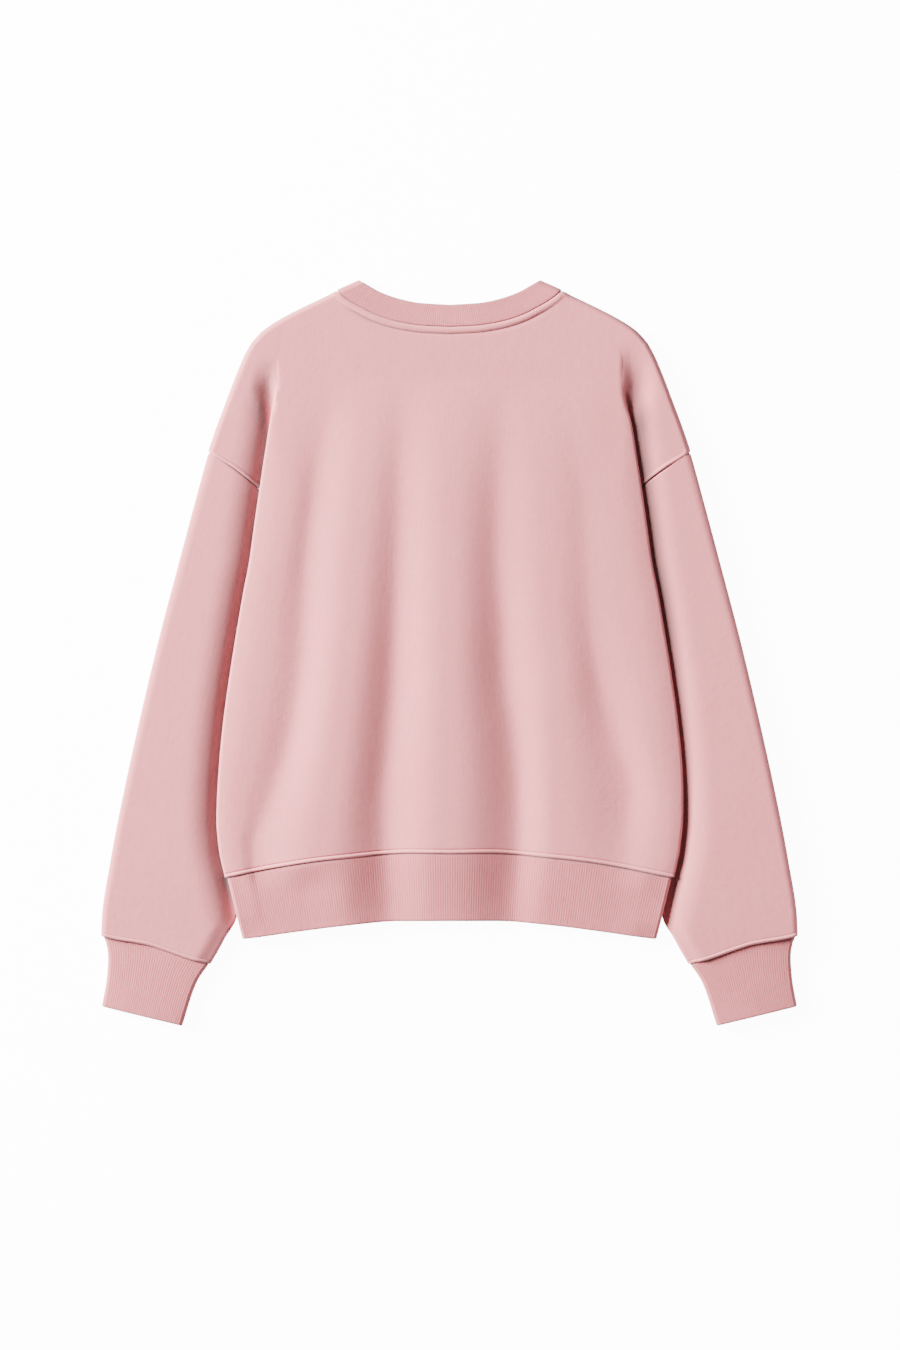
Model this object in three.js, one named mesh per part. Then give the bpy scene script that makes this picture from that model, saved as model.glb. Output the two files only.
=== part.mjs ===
// A heavy crewneck sweatshirt laid flat on its front, back upward, sleeves drawn down beside the body.
// Millimetres. X runs across the garment, Y from the hem to the neck, Z up from the surface it lies on.
// The origin is at the middle of the garment's outline, on that surface.
import * as THREE from "three";

const { clamp, degToRad, lerp, smoothstep } = THREE.MathUtils;

// Driving sizes.
const LENGTH = 747; // collar tips to the lowest corner of the cuffs
const FLEECE = 2; // thickness of the body and sleeve cloth
const RIB = 2.6; // thickness of the doubled rib bands
const SEAM = 0.3; // space between two pieces where they are sewn
const CURVED_SEAM = 0.45; // the same where the seam line bends
const RIB_PITCH = 2.4; // from one rib of the knit to the next
const RIB_HEIGHT = 0.45; // how far a rib stands out of its band
const NECK_HALF = 112.5; // neck point, where shoulder seam and neckline meet
const NECK_DROP = 11.4; // neck point below the collar tips
const SHOULDER_HALF = 198; // shoulder point, where the outline turns down the arm
const SHOULDER_DROP = 64;
const FRONT_NECK_DROP = 95; // lowest point of the front neckline
const COLLAR_HALF = 90; // collar tips
const TIP_INSET = 1.2; // of the collar's layers from its tips, for the fold round them
const TIP_DROP = 1.5;
const TIP_BULGE = 0.5;
const FRONT_COLLAR_DROP = 72; // lowest point of the front collar's edge
const SHOULDER_SEAM_END = 173; // where the dropped shoulder meets the sleeve
const UNDERARM_DROP = 320;
const UNDERARM_HALF = 163.5;
const SIDE_SEAM_SHOWS = 235; // from here down the back ends under its own rolled edge
const CUFF_DROP = 656; // outer end of the sleeve seam at the cuff
const CUFF_INNER_DROP = 684.5;
const HEM_CORNER_HALF = 218; // corner of the body at the hem band

// Heights of the cloth's middle surface.
const FLOOR_LAYER = FLEECE / 2;
const SLEEVE_UNDER = 3.6; // upper layer of the sleeve where the body lies on it
const BODY_UNDER = 6.1; // lower layer of the body where it lies on the sleeve
const OUTLINE_EDGE = 3.3; // upper layer where it meets the lower one at the outline
const CROWN_REACH = 16; // how far in from the outline the upper layer rounds over
const ARM_RISE = 40; // how far out from the body's edge the sleeve rises to its crest
const SLEEVE_SIDE = 7; // upper layer at the sleeve's inner fold, below the body
const OUTER_ROLL = 2.7; // how far the sleeve's outer fold rounds over
const TURN = (BODY_UNDER - SLEEVE_UNDER) / 2; // radius of the fold hidden under the body's edge
const HEM_ROLL = 2.85; // radius of the hem band's side folds

// Half width of the garment's outline, by distance down from the collar tips.
const OUTLINE = [
  { down: 64, half: 198 },
  { down: 77, half: 205 },
  { down: 101, half: 215 },
  { down: 125, half: 224 },
  { down: 149, half: 233 },
  { down: 173, half: 241 },
  { down: 220, half: 254 },
  { down: 280, half: 270 },
  { down: 360, half: 291 },
  { down: 440, half: 310 },
  { down: 520, half: 327.5 },
  { down: 580, half: 339 },
  { down: 640, half: 348 },
  { down: 656, half: 348.5 },
];

// The shoulder line, from the neck point out to the shoulder point.
const SHOULDER = [
  { half: 112.5, down: 11.4 },
  { half: 121, down: 16 },
  { half: 146, down: 28 },
  { half: 169, down: 40 },
  { half: 187, down: 52 },
  { half: 198, down: 64 },
];

// The back neckline and the free edge of the back collar.
const BACK_NECKLINE = [
  { half: 0, down: 47.5 },
  { half: 43.5, down: 45 },
  { half: 59, down: 41 },
  { half: 74, down: 36 },
  { half: 89.4, down: 27.5 },
  { half: 105, down: 17.5 },
  { half: 112.5, down: 11.4 },
];
const BACK_COLLAR = [
  { half: 0, down: 25.2 },
  { half: 30, down: 23.3 },
  { half: 50, down: 19.4 },
  { half: 70, down: 12.3 },
  { half: 80, down: 6.5 },
  { half: 90, down: 0 },
];

// The armhole seam, from the end of the dropped shoulder down to the underarm.
const ARMHOLE = [
  { down: 173, half: 241 },
  { down: 191, half: 212.5 },
  { down: 210, half: 190 },
  { down: 220, half: 183 },
  { down: 235, half: 177.5 },
  { down: 255, half: 172.5 },
  { down: 280, half: 168.5 },
  { down: 302, half: 165 },
  { down: 320, half: 163.5 },
];

// Each row across the body: its rolled edge, and the hidden turn of the fold under that edge.
const BODY_EDGE = [
  { down: 20, half: 170 },
  { down: 105, half: 174 },
  { down: 137, half: 179 },
  { down: 173, half: 184.5 },
  { down: 240, half: 194.5 },
  { down: 280, half: 200 },
  { down: 320, half: 207.5 },
  { down: 400, half: 220.5 },
  { down: 440, half: 226 },
  { down: 480, half: 230 },
  { down: 520, half: 232.5 },
  { down: 540, half: 233 },
  { down: 570, half: 230.5 },
  { down: 598, half: 224.5 },
];
const HIDDEN_TURN = [
  { down: 90, half: 188 },
  { down: 125, half: 181.5 },
  { down: 150, half: 177.5 },
  { down: 173, half: 177 },
  { down: 201, half: 179.5 },
  { down: 220, half: 179 },
  { down: 235, half: 176.5 },
];

// Where the back ends below the armhole, under its rolled edge: the side seam.
const SIDE_SEAM = [
  { down: 235, half: 177 },
  { down: 255, half: 172.5 },
  { down: 280, half: 168.5 },
  { down: 320, half: 163.5 },
  { down: 345, half: 167 },
  { down: 380, half: 188 },
  { down: 430, half: 206 },
  { down: 480, half: 216 },
  { down: 530, half: 222 },
  { down: 565, half: 222.5 },
  { down: 598, half: 218.5 },
];

// The sleeve's inner fold, from the underarm to the cuff.
const SLEEVE_FOLD = [
  { down: 320, half: 163.5 },
  { down: 345, half: 169.5 },
  { down: 500, half: 192 },
  { down: 640, half: 213.6 },
  { down: 658, half: 224 },
  { down: 671, half: 231 },
  { down: 684.5, half: 239 },
];

// Height of the crest along the shoulder and sleeve.
const CREST = [
  { down: 40, height: 10 },
  { down: 173, height: 12 },
  { down: 420, height: 13 },
  { down: 600, height: 12.5 },
  { down: 690, height: 10.5 },
];

// Seam between sleeve and cuff, and seam and lower edge of the hem band.
const CUFF_SEAM = [
  { half: 239, down: 684.5 },
  { half: 254, down: 681 },
  { half: 286, down: 670 },
  { half: 302, down: 665 },
  { half: 334, down: 659.5 },
  { half: 348.5, down: 656 },
];
const HEM_SEAM = [
  { half: 0, down: 574 },
  { half: 38, down: 573.6 },
  { half: 70, down: 575.5 },
  { half: 102, down: 578.5 },
  { half: 134, down: 582 },
  { half: 166, down: 587 },
  { half: 200, down: 593.5 },
  { half: 224.5, down: 598.5 },
];
const HEM_EDGE = [
  { half: 0, down: 641.3 },
  { half: 50, down: 641.8 },
  { half: 100, down: 645.7 },
  { half: 150, down: 652 },
  { half: 200, down: 659 },
  { half: 210, down: 660 },
];

// The soft folds down the back, left to right: where each line runs and how high the cloth stands on it.
const FOLD_ROWS = { yoke: 130, waist: 340, hem: 600 };
const FOLDS = [
  { line: "hollow beside the left edge", x: [-131, -156, -200], height: [9.2, 8.9, 9.4] },
  { line: "left ridge", x: [-79, -97, -119], height: [9.6, 14, 14.8] },
  { line: "left trough", x: [-48, -59, -67], height: [9, 6.5, 5.4] },
  { line: "middle ridge", x: [1, 0, -1], height: [9.7, 13, 13.2] },
  { line: "right trough", x: [53, 50, 61], height: [9, 5.5, 4.7] },
  { line: "right ridge", x: [86, 102, 124], height: [9.4, 10, 9.8] },
  { line: "hollow beside the right edge", x: [132, 141, 184], height: [9, 7, 7] },
];
const EDGE_HEIGHT = [10.6, 14, 13.2]; // of the rolled edges, in the same rows
const EDGE_INSET = 5; // the crest of a rolled edge, in from its side

// Each cuff, from its seam to its free end: the outer and the inner fold.
const CUFF = [
  { part: 0, outer: 346, outerDown: 657, inner: 242.5, innerDown: 685.5 },
  { part: 0.12, outer: 342.8, outerDown: 668, inner: 246.5, innerDown: 691.5 },
  { part: 0.3, outer: 341.6, outerDown: 680, inner: 252.5, innerDown: 704 },
  { part: 0.6, outer: 343, outerDown: 700, inner: 260, innerDown: 724 },
  { part: 1, outer: 348, outerDown: 727, inner: 267.5, innerDown: 746.6 },
];
const CUFF_RIBS = 36;
const CUFF_LENGTH = 66;
const CUFF_ROLL = 2.8;
const CUFF_CREST = 9;

// Rows down the body, by distance down at its side. Front and back share those along their common seams.
const YOKE_ROWS = [74, 86, 102, 120, 138, 156];
const ARM_ROWS = ARMHOLE.map((row) => row.down);
const SIDE_ROWS = [333, 345, 380, 430, 480, 530, 565];

// Reads a column of a table at a place, on a smooth curve that never overshoots its rows.
function read(table, by, column, at) {
  const keys = table.map((row) => row[by]);
  const values = table.map((row) => row[column]);
  const last = keys.length - 1;
  if (at <= keys[0]) return values[0];
  if (at >= keys[last]) return values[last];
  const rise = keys.slice(1).map((key, i) => (values[i + 1] - values[i]) / (key - keys[i]));
  const slopes = keys.map((key, i) => {
    if (i === 0) return rise[0];
    if (i === last) return rise[last - 1];
    const turns = rise[i - 1] * rise[i] <= 0;
    return turns ? 0 : (2 * rise[i - 1] * rise[i]) / (rise[i - 1] + rise[i]);
  });
  const i = keys.findIndex((key, n) => at < keys[n + 1]);
  const step = keys[i + 1] - keys[i];
  const t = (at - keys[i]) / step;
  const blend = t * t * (3 - 2 * t);
  const swing = slopes[i] * t * (1 - t) ** 2 - slopes[i + 1] * t * t * (1 - t);
  return lerp(values[i], values[i + 1], blend) + step * swing;
}

const outline = (down) => read(OUTLINE, "down", "half", down);
const bodyEdge = (down) => read(BODY_EDGE, "down", "half", down);
const hemSeam = (x) => read(HEM_SEAM, "half", "down", Math.abs(x));
const hemEdge = (x) => read(HEM_EDGE, "half", "down", Math.abs(x));

const SIDE_END = hemSeam(HEM_CORNER_HALF) - SEAM; // where front and back end at their sides
const PANEL_ROWS = [SHOULDER_DROP, ...YOKE_ROWS, ...ARM_ROWS, ...SIDE_ROWS, SIDE_END];

function atFoldRows(values, down) {
  const rows = Object.values(FOLD_ROWS).map((place, i) => ({ down: place, value: values[i] }));
  return read(rows, "down", "value", down);
}

// The upper outline as one line: collar tip, shoulder, sleeve.
const OUTLINE_POINTS = [
  { half: COLLAR_HALF, down: 0 },
  ...SHOULDER,
  ...OUTLINE.slice(1),
].map((row) => new THREE.Vector3(row.half, row.down, 0));

// Distance of a place in from the upper outline, less than nothing outside it.
function fromOutline(x, down) {
  const place = new THREE.Vector3(Math.abs(x), down, 0);
  const nearest = new THREE.Vector3();
  let least = Infinity;
  let inside = 1;
  for (let i = 0; i + 1 < OUTLINE_POINTS.length; i++) {
    const line = new THREE.Line3(OUTLINE_POINTS[i], OUTLINE_POINTS[i + 1]);
    const distance = line.closestPointToPoint(place, true, nearest).distanceTo(place);
    if (distance >= least) continue;
    least = distance;
    inside = Math.sign(line.delta(new THREE.Vector3()).cross(place.clone().sub(line.start)).z) || 1;
  }
  return least * inside;
}

// Rounds an upper layer over from its own height down to where it meets the lower layer at the outline.
function crown(distance, height) {
  const inward = Math.max(1 - distance / CROWN_REACH, 0);
  return OUTLINE_EDGE + (height - OUTLINE_EDGE) * (1 - inward * inward);
}

// Height of the folded back, before it rounds over at the outline.
function foldHeight(x, down) {
  const edge = bodyEdge(down) - EDGE_INSET;
  const edgeHeight = atFoldRows(EDGE_HEIGHT, down);
  const lines = [
    { x: -edge, height: edgeHeight },
    ...FOLDS.map((fold) => ({ x: atFoldRows(fold.x, down), height: atFoldRows(fold.height, down) })),
    { x: edge, height: edgeHeight },
  ];
  if (x <= lines[0].x || x >= lines.at(-1).x) return edgeHeight;
  const i = lines.findIndex((line, n) => x < lines[n + 1].x);
  return lerp(lines[i].height, lines[i + 1].height, smoothstep(x, lines[i].x, lines[i + 1].x));
}

const backHeight = (x, down) => crown(fromOutline(x, down), foldHeight(x, down));

// Height of the sleeve's upper layer and of the dropped shoulder: low beside the body, then a crest.
function armHeight(x, down) {
  const full = read(CREST, "down", "height", down);
  const inFromFold = Math.abs(x) - read(SLEEVE_FOLD, "down", "half", down);
  const innerSide = lerp(SLEEVE_SIDE, full, smoothstep(inFromFold, 0, ARM_RISE / 2));
  const crest = crown(fromOutline(x, down), lerp(full, innerSide, smoothstep(down, 600, 684)));
  const away = smoothstep(Math.abs(x) - bodyEdge(down), 2, ARM_RISE);
  const dip = smoothstep(down, 90, 155) * (1 - smoothstep(down, 640, 684));
  return lerp(crest, lerp(SLEEVE_UNDER, crest, away), dip);
}

const point = (x, down, z) => new THREE.Vector3(x, LENGTH / 2 - down, z);

// The body's rolled edge: its radius, from its height above the layer under it, and where the roll starts.
const rollRadius = (down) => (atFoldRows(EDGE_HEIGHT, down) - BODY_UNDER) / 2;
const rollStart = (down) => bodyEdge(down) - FLEECE / 2 - rollRadius(down);

// Columns of the back, counted from the middle: the flat of the back, then everything past its rolled edge.
const FLAT_COLUMNS = 12;
const EDGE_COLUMNS = 12;
const BACK_COLUMNS = FLAT_COLUMNS + EDGE_COLUMNS;
const NECK_COLUMNS = 8; // of the flat columns, those on the neckline
const ROLL_END = 4; // steps past the flat columns: the roll, the layer under it, the hidden turn
const UNDER_END = 6;
const TURN_END = 8;

const NECK_STEP = NECK_HALF / NECK_COLUMNS;

// A row of a panel follows neck and shoulder at the top, is level half way down and follows the hem seam below.
function rowDown(row, topDown, hemHalf) {
  const part = (row - SHOULDER_DROP) / (SIDE_END - SHOULDER_DROP);
  const fromTop = (topDown - SHOULDER_DROP) * (1 - smoothstep(part, 0, 0.45));
  const fromHem = (hemSeam(Math.min(hemHalf, HEM_CORNER_HALF)) - SEAM - SIDE_END) * smoothstep(part, 0.5, 1);
  return row + fromTop + fromHem;
}

// The back neckline, straight between the columns of the back so that back and collar stay parallel.
function backNeckline(x) {
  const count = clamp(Math.floor(x / NECK_STEP), 0, NECK_COLUMNS - 1);
  const at = (n) => read(BACK_NECKLINE, "half", "down", n * NECK_STEP);
  return lerp(at(count), at(count + 1), x / NECK_STEP - count);
}

// How much wider the outline is than at the shoulder point, down to the end of the shoulder.
const spread = (down) => outline(clamp(down, SHOULDER_DROP, SHOULDER_SEAM_END)) / SHOULDER_HALF;

function backTop(column) {
  const flatHalf = NECK_STEP * FLAT_COLUMNS;
  const x = column <= FLAT_COLUMNS
    ? NECK_STEP * column
    : lerp(flatHalf, SHOULDER_HALF, (column - FLAT_COLUMNS) / EDGE_COLUMNS);
  const gap = CURVED_SEAM * (1 - smoothstep(x, NECK_HALF, NECK_HALF + NECK_STEP));
  return { x, down: (x < NECK_HALF ? backNeckline(x) : read(SHOULDER, "half", "down", x)) + gap };
}

// The part of the back past its flat: rolled under, turned again, and out over the dropped shoulder.
function pastEdge(step, down, rowDown) {
  const roll = rollRadius(down);
  const start = rollStart(down);
  if (step <= ROLL_END) {
    const angle = degToRad(90 - (180 * step) / ROLL_END);
    return { x: start + roll * Math.cos(angle), z: BODY_UNDER + roll * (1 + Math.sin(angle)) };
  }
  if (rowDown >= SIDE_SEAM_SHOWS) {
    const end = read(SIDE_SEAM, "down", "half", down);
    const margin = lerp(1.2, (start - end) * 0.6, smoothstep(down, SIDE_SEAM_SHOWS, 400));
    const x = step <= UNDER_END
      ? lerp(start, end + margin, (step - ROLL_END) / (UNDER_END - ROLL_END))
      : lerp(end + margin, end, (step - UNDER_END) / (EDGE_COLUMNS - UNDER_END));
    return { x, z: BODY_UNDER };
  }
  const turn = read(HIDDEN_TURN, "down", "half", down);
  if (step <= UNDER_END) {
    const x = lerp(start, turn + TURN, (step - ROLL_END) / (UNDER_END - ROLL_END));
    return { x, z: BODY_UNDER };
  }
  if (step <= TURN_END) {
    const angle = (Math.PI * (step - UNDER_END)) / (TURN_END - UNDER_END);
    return { x: turn + TURN * (1 - Math.sin(angle)), z: BODY_UNDER - TURN * (1 - Math.cos(angle)) };
  }
  const seam = down < SHOULDER_SEAM_END ? outline(down) : read(ARMHOLE, "down", "half", down) - SEAM;
  const x = lerp(turn + TURN, seam, (step - TURN_END) / (EDGE_COLUMNS - TURN_END));
  return { x, z: armHeight(x, down) };
}

// Middle surface of the back. column runs from minus to plus BACK_COLUMNS, row is a distance down at the side.
function back(column, row) {
  const side = Math.sign(column) || 1;
  const count = Math.abs(column);
  const part = (row - SHOULDER_DROP) / (SIDE_END - SHOULDER_DROP);
  const top = backTop(count);
  const hemHalf = rollStart(SIDE_END) * Math.min(1, count / FLAT_COLUMNS);
  const down = rowDown(row, top.down, hemHalf);
  const settled = smoothstep(part, 0, 0.12);
  const spreadX = top.x * spread(down);
  if (count <= FLAT_COLUMNS) {
    const wide = (rollStart(down) * count) / FLAT_COLUMNS;
    const x = side * lerp(spreadX, wide, settled);
    return point(x, down, backHeight(x, down));
  }
  const step = count - FLAT_COLUMNS;
  const wideX = lerp(rollStart(down), outline(Math.min(down, SHOULDER_SEAM_END)), step / EDGE_COLUMNS);
  const openX = lerp(spreadX, wideX, settled);
  const folded = pastEdge(step, down, row);
  const share = smoothstep(down, 95, 150);
  const x = lerp(openX, folded.x, share);
  const openZ = lerp(backHeight(openX, down), armHeight(openX, down), step / EDGE_COLUMNS);
  return point(side * x, down, lerp(openZ, folded.z, share));
}

// Height of the front's middle surface: on the floor, but over the sleeve beside its inner fold.
function frontHeight(x, down) {
  const fold = read(SLEEVE_FOLD, "down", "half", down);
  const over = smoothstep(Math.abs(x), fold - 16, fold - 3) * smoothstep(down, UNDERARM_DROP - 18, UNDERARM_DROP + 10);
  return lerp(FLOOR_LAYER, BODY_UNDER, over);
}

const FRONT_COLUMNS = 12;
const FRONT_SIDE_COLUMNS = 3; // from the sleeve's fold out to the side seam
const RAMP = [18, 12, 7, 3]; // columns on the slope up onto the sleeve, in from its fold

// Half width of the front at its armhole and side seam.
function frontHalf(down) {
  if (down < SHOULDER_SEAM_END) return outline(down);
  if (down <= UNDERARM_DROP) return read(ARMHOLE, "down", "half", down) - SEAM;
  return read(SIDE_SEAM, "down", "half", down) - CURVED_SEAM;
}

function frontTop(count) {
  if (count > NECK_COLUMNS) {
    const x = lerp(NECK_HALF, SHOULDER_HALF, (count - NECK_COLUMNS) / (FRONT_COLUMNS - NECK_COLUMNS));
    return { x, down: read(SHOULDER, "half", "down", x) };
  }
  const angle = (Math.PI / 2) * (count / NECK_COLUMNS);
  const drop = (FRONT_NECK_DROP - NECK_DROP) * Math.cos(angle);
  return { x: NECK_HALF * Math.sin(angle), down: NECK_DROP + CURVED_SEAM + drop };
}

function frontColumn(count, down) {
  const half = frontHalf(down);
  const fold = down > UNDERARM_DROP ? read(SLEEVE_FOLD, "down", "half", down) : half + 2;
  const flatEnd = FRONT_COLUMNS - FRONT_SIDE_COLUMNS - RAMP.length + 1;
  if (count <= flatEnd) return ((fold - RAMP[0]) * count) / flatEnd;
  const slopeEnd = flatEnd + RAMP.length - 1;
  if (count <= slopeEnd) {
    const i = Math.min(Math.floor(count - flatEnd), RAMP.length - 2);
    return fold - lerp(RAMP[i], RAMP[i + 1], count - flatEnd - i);
  }
  const knee = Math.min(fold - RAMP.at(-1), half - 0.6);
  return lerp(knee, half, (count - slopeEnd) / FRONT_SIDE_COLUMNS);
}

function front(column, row) {
  const side = Math.sign(column) || 1;
  const count = Math.abs(column);
  const part = (row - SHOULDER_DROP) / (SIDE_END - SHOULDER_DROP);
  const top = frontTop(count);
  const down = rowDown(row, top.down, frontColumn(count, SIDE_END));
  const x = side * lerp(top.x * spread(down), frontColumn(count, down), smoothstep(part, 0, 0.2));
  return point(x, down, frontHeight(x, down));
}

// A place on the sleeve in plan: across from its outer to its inner fold, along from armhole to cuff.
const ARM_SHARES = [0, 0.15, 0.27, 0.35, 0.44, 0.55, 0.69, 0.86, 1];
function armPlan(across, along) {
  const found = ARM_SHARES.findIndex((_, n) => across < ARM_SHARES[n + 1]);
  const i = found < 0 ? ARM_SHARES.length - 2 : found;
  const t = (across - ARM_SHARES[i]) / (ARM_SHARES[i + 1] - ARM_SHARES[i]);
  const armhole = {
    half: lerp(ARMHOLE[i].half, ARMHOLE[i + 1].half, t) + SEAM / 2,
    down: lerp(ARMHOLE[i].down, ARMHOLE[i + 1].down, t) + SEAM,
  };
  const cuffHalf = lerp(OUTLINE.at(-1).half, SLEEVE_FOLD.at(-1).half, across);
  const cuff = { half: cuffHalf, down: read(CUFF_SEAM, "half", "down", cuffHalf) };
  const outerDown = lerp(SHOULDER_SEAM_END, CUFF_DROP, along);
  const outer = { half: outline(outerDown), down: outerDown };
  const innerDown = lerp(UNDERARM_DROP, CUFF_INNER_DROP, along);
  const inner = { half: read(SLEEVE_FOLD, "down", "half", innerDown), down: innerDown };
  const corner = (key) =>
    (1 - across) * (1 - along) * ARMHOLE[0][key] +
    across * (1 - along) * ARMHOLE.at(-1)[key] +
    (1 - across) * along * OUTLINE.at(-1)[key] +
    across * along * SLEEVE_FOLD.at(-1)[key];
  const blend = (key) =>
    lerp(armhole[key], cuff[key], along) + lerp(outer[key], inner[key], across) - corner(key);
  return { half: blend("half"), down: blend("down") };
}

// One turn round a flattened tube: over the upper layer, round a fold, back along the lower one, round the other.
// turn runs from 0 to 4, and over it the tube's own plan and heights say where the cloth is.
function flattened(turn, plan, upper, lower, width, thickness) {
  const startRoll = (upper(plan(0)) - lower(plan(0))) / 2;
  const endRoll = (upper(plan(1)) - lower(plan(1))) / 2;
  const first = (startRoll + thickness / 2) / width;
  const last = 1 - (endRoll + thickness / 2) / width;
  const on = turn - Math.floor(turn);
  if (turn < 1) {
    const place = plan(lerp(first, last, on));
    return { ...place, z: upper(place) };
  }
  if (turn < 2) {
    const angle = Math.PI * on;
    const place = plan(last + (endRoll * Math.sin(angle)) / width);
    const middle = (upper(plan(last)) + lower(plan(last))) / 2;
    return { ...place, z: middle + ((upper(plan(last)) - lower(plan(last))) / 2) * Math.cos(angle) };
  }
  if (turn < 3) {
    const place = plan(lerp(last, first, on));
    return { ...place, z: lower(place) };
  }
  const angle = Math.PI * on;
  const place = plan(first - (startRoll * Math.sin(angle)) / width);
  const middle = (upper(plan(first)) + lower(plan(first))) / 2;
  return { ...place, z: middle - ((upper(plan(first)) - lower(plan(first))) / 2) * Math.cos(angle) };
}

const onFloor = (thickness) => () => thickness / 2;

// The sleeve at a turn round it and a place along it: where the cloth is, and the way out of it there.
function sleeveAt(turn, along) {
  const foldOut = (across) => {
    const before = armPlan(across, Math.max(along - 0.01, 0));
    const after = armPlan(across, Math.min(along + 0.01, 1));
    const way = new THREE.Vector2(after.down - before.down, before.half - after.half).normalize();
    return across > 0.5 ? way.negate() : way;
  };
  const outer = foldOut(0);
  const inner = foldOut(1);
  const [start, next] = [0, ARM_SHARES[1]].map((across) => armPlan(across, along));
  const rowWay = new THREE.Vector2(next.half - start.half, next.down - start.down).normalize();
  const foldPlace = armPlan(1, along);
  const innerRoll = (armHeight(foldPlace.half, foldPlace.down) - FLOOR_LAYER) / 2;
  const place = (across) => {
    const { half, down } = armPlan(across, along);
    const fromOuter = (OUTER_ROLL + FLEECE / 2) * (1 - smoothstep(across, 0, 0.15));
    const fromInner = (innerRoll + FLEECE / 2) * smoothstep(across, 0.86, 1);
    const at = new THREE.Vector2(half, down);
    return at.addScaledVector(rowWay, fromOuter / -rowWay.dot(outer)).addScaledVector(inner, -fromInner);
  };
  const on = turn - Math.floor(turn);
  if (turn < 1) {
    const at = place(on);
    const height = armHeight(at.x, at.y);
    const slopeX = armHeight(at.x + 0.5, at.y) - armHeight(at.x - 0.5, at.y);
    const slopeDown = armHeight(at.x, at.y + 0.5) - armHeight(at.x, at.y - 0.5);
    return { at, height, way: new THREE.Vector3(-slopeX, slopeDown, 1) };
  }
  if (turn >= 2 && turn < 3) return { at: place(1 - on), height: FLOOR_LAYER, way: new THREE.Vector3(0, 0, -1) };
  const far = turn < 2 ? 1 : 0;
  const out = far ? inner : outer;
  const roll = far ? innerRoll : OUTER_ROLL;
  const at = place(far);
  const reach = (armHeight(at.x, at.y) - FLOOR_LAYER) / 2;
  const angle = Math.PI * (far ? on : 1 - on);
  return {
    at: at.addScaledVector(out, roll * Math.sin(angle)),
    height: FLOOR_LAYER + reach * (1 + Math.cos(angle)),
    way: new THREE.Vector3(out.x * Math.sin(angle), -out.y * Math.sin(angle), Math.cos(angle)),
  };
}

function cuff(side) {
  return (turn, along) => {
    const fold = (column) => read(CUFF, "part", column, along);
    const plan = (across) => {
      const half = lerp(fold("outer"), fold("inner"), across);
      const seam = read(CUFF_SEAM, "half", "down", half) + CURVED_SEAM + along * CUFF_LENGTH;
      const straight = lerp(fold("outerDown"), fold("innerDown"), across);
      return { across, half, down: lerp(seam, straight, smoothstep(along, 0, 1)) };
    };
    const width = Math.hypot(fold("outer") - fold("inner"), fold("outerDown") - fold("innerDown"));
    const upper = ({ across }) => {
      const inside = Math.sin(Math.PI * clamp(across, 0, 1)) ** 0.6;
      return lerp(RIB / 2 + 2 * CUFF_ROLL, lerp(CUFF_CREST, 8.8, along), inside);
    };
    const at = flattened(turn, plan, upper, onFloor(RIB), width, RIB);
    return point(side * at.half, at.down, at.z);
  };
}

function hemBand(turn, along) {
  const half = lerp(222, 207, along);
  const lift = lerp(BODY_UNDER - FLOOR_LAYER, 2.5, smoothstep(along, 0.62, 1));
  const plan = (across) => {
    const x = lerp(-half, half, across);
    return { x, down: lerp(hemSeam(x * (224 / half)) + SEAM, hemEdge(x), along) };
  };
  const lower = ({ x, down }) => {
    const fold = read(SLEEVE_FOLD, "down", "half", Math.min(down, 640));
    return RIB / 2 + lift * smoothstep(Math.abs(x), fold - 18, fold - 6);
  };
  const upper = (place) => {
    const x = place.x * (224 / half);
    const seamHeight = foldHeight(x, SIDE_END);
    const edgeHeight = 5.5 + 0.6 * (seamHeight - 4.7);
    const side = RIB / 2 + lift + 2 * HEM_ROLL;
    return lerp(lerp(seamHeight, edgeHeight, smoothstep(along, 0, 1)), side, smoothstep(Math.abs(place.x), half - 30, half - 3));
  };
  const at = flattened(turn, plan, upper, lower, 2 * half, RIB);
  return point(at.x, at.down, at.z);
}

// The collar is one ring: its back half on top, its front half under the back of the garment.
function collar(turn, along) {
  const on = turn - Math.floor(turn);
  const tip = clamp(turn < 1 ? 0 : turn < 2 ? on : turn < 3 ? 1 : 1 - on, 0, 1);
  const across = turn < 1 ? lerp(-1, 1, on) : turn < 2 ? 1 : turn < 3 ? lerp(1, -1, on) : -1;
  const x = across * (lerp(NECK_HALF, COLLAR_HALF, along) - TIP_INSET);
  const tipDrop = TIP_DROP * along * across ** 8;
  const angle = Math.acos(clamp(Math.abs(across), 0, 1));
  if (turn < 1) {
    const seam = backNeckline(Math.abs(across) * (NECK_HALF - TIP_INSET));
    const edge = read(BACK_COLLAR, "half", "down", Math.abs(across) * COLLAR_HALF);
    const down = lerp(seam, edge, along) + tipDrop;
    return point(x, down, collarHeight(x, down, along));
  }
  const seam = NECK_DROP + (FRONT_NECK_DROP - NECK_DROP) * Math.sin(angle);
  const edge = FRONT_COLLAR_DROP * Math.sin(angle);
  const down = lerp(seam, edge, along) + tipDrop;
  if (turn >= 2 && turn < 3) return point(x, down, RIB / 2);
  const high = collarHeight(x, down, along);
  const middle = (high + RIB / 2) / 2;
  const reach = (high - RIB / 2) / 2;
  const swing = Math.PI * tip;
  const bulge = TIP_BULGE * Math.sin(swing);
  return point(x + Math.sign(x) * bulge, down - bulge, middle + reach * Math.cos(swing));
}

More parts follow.
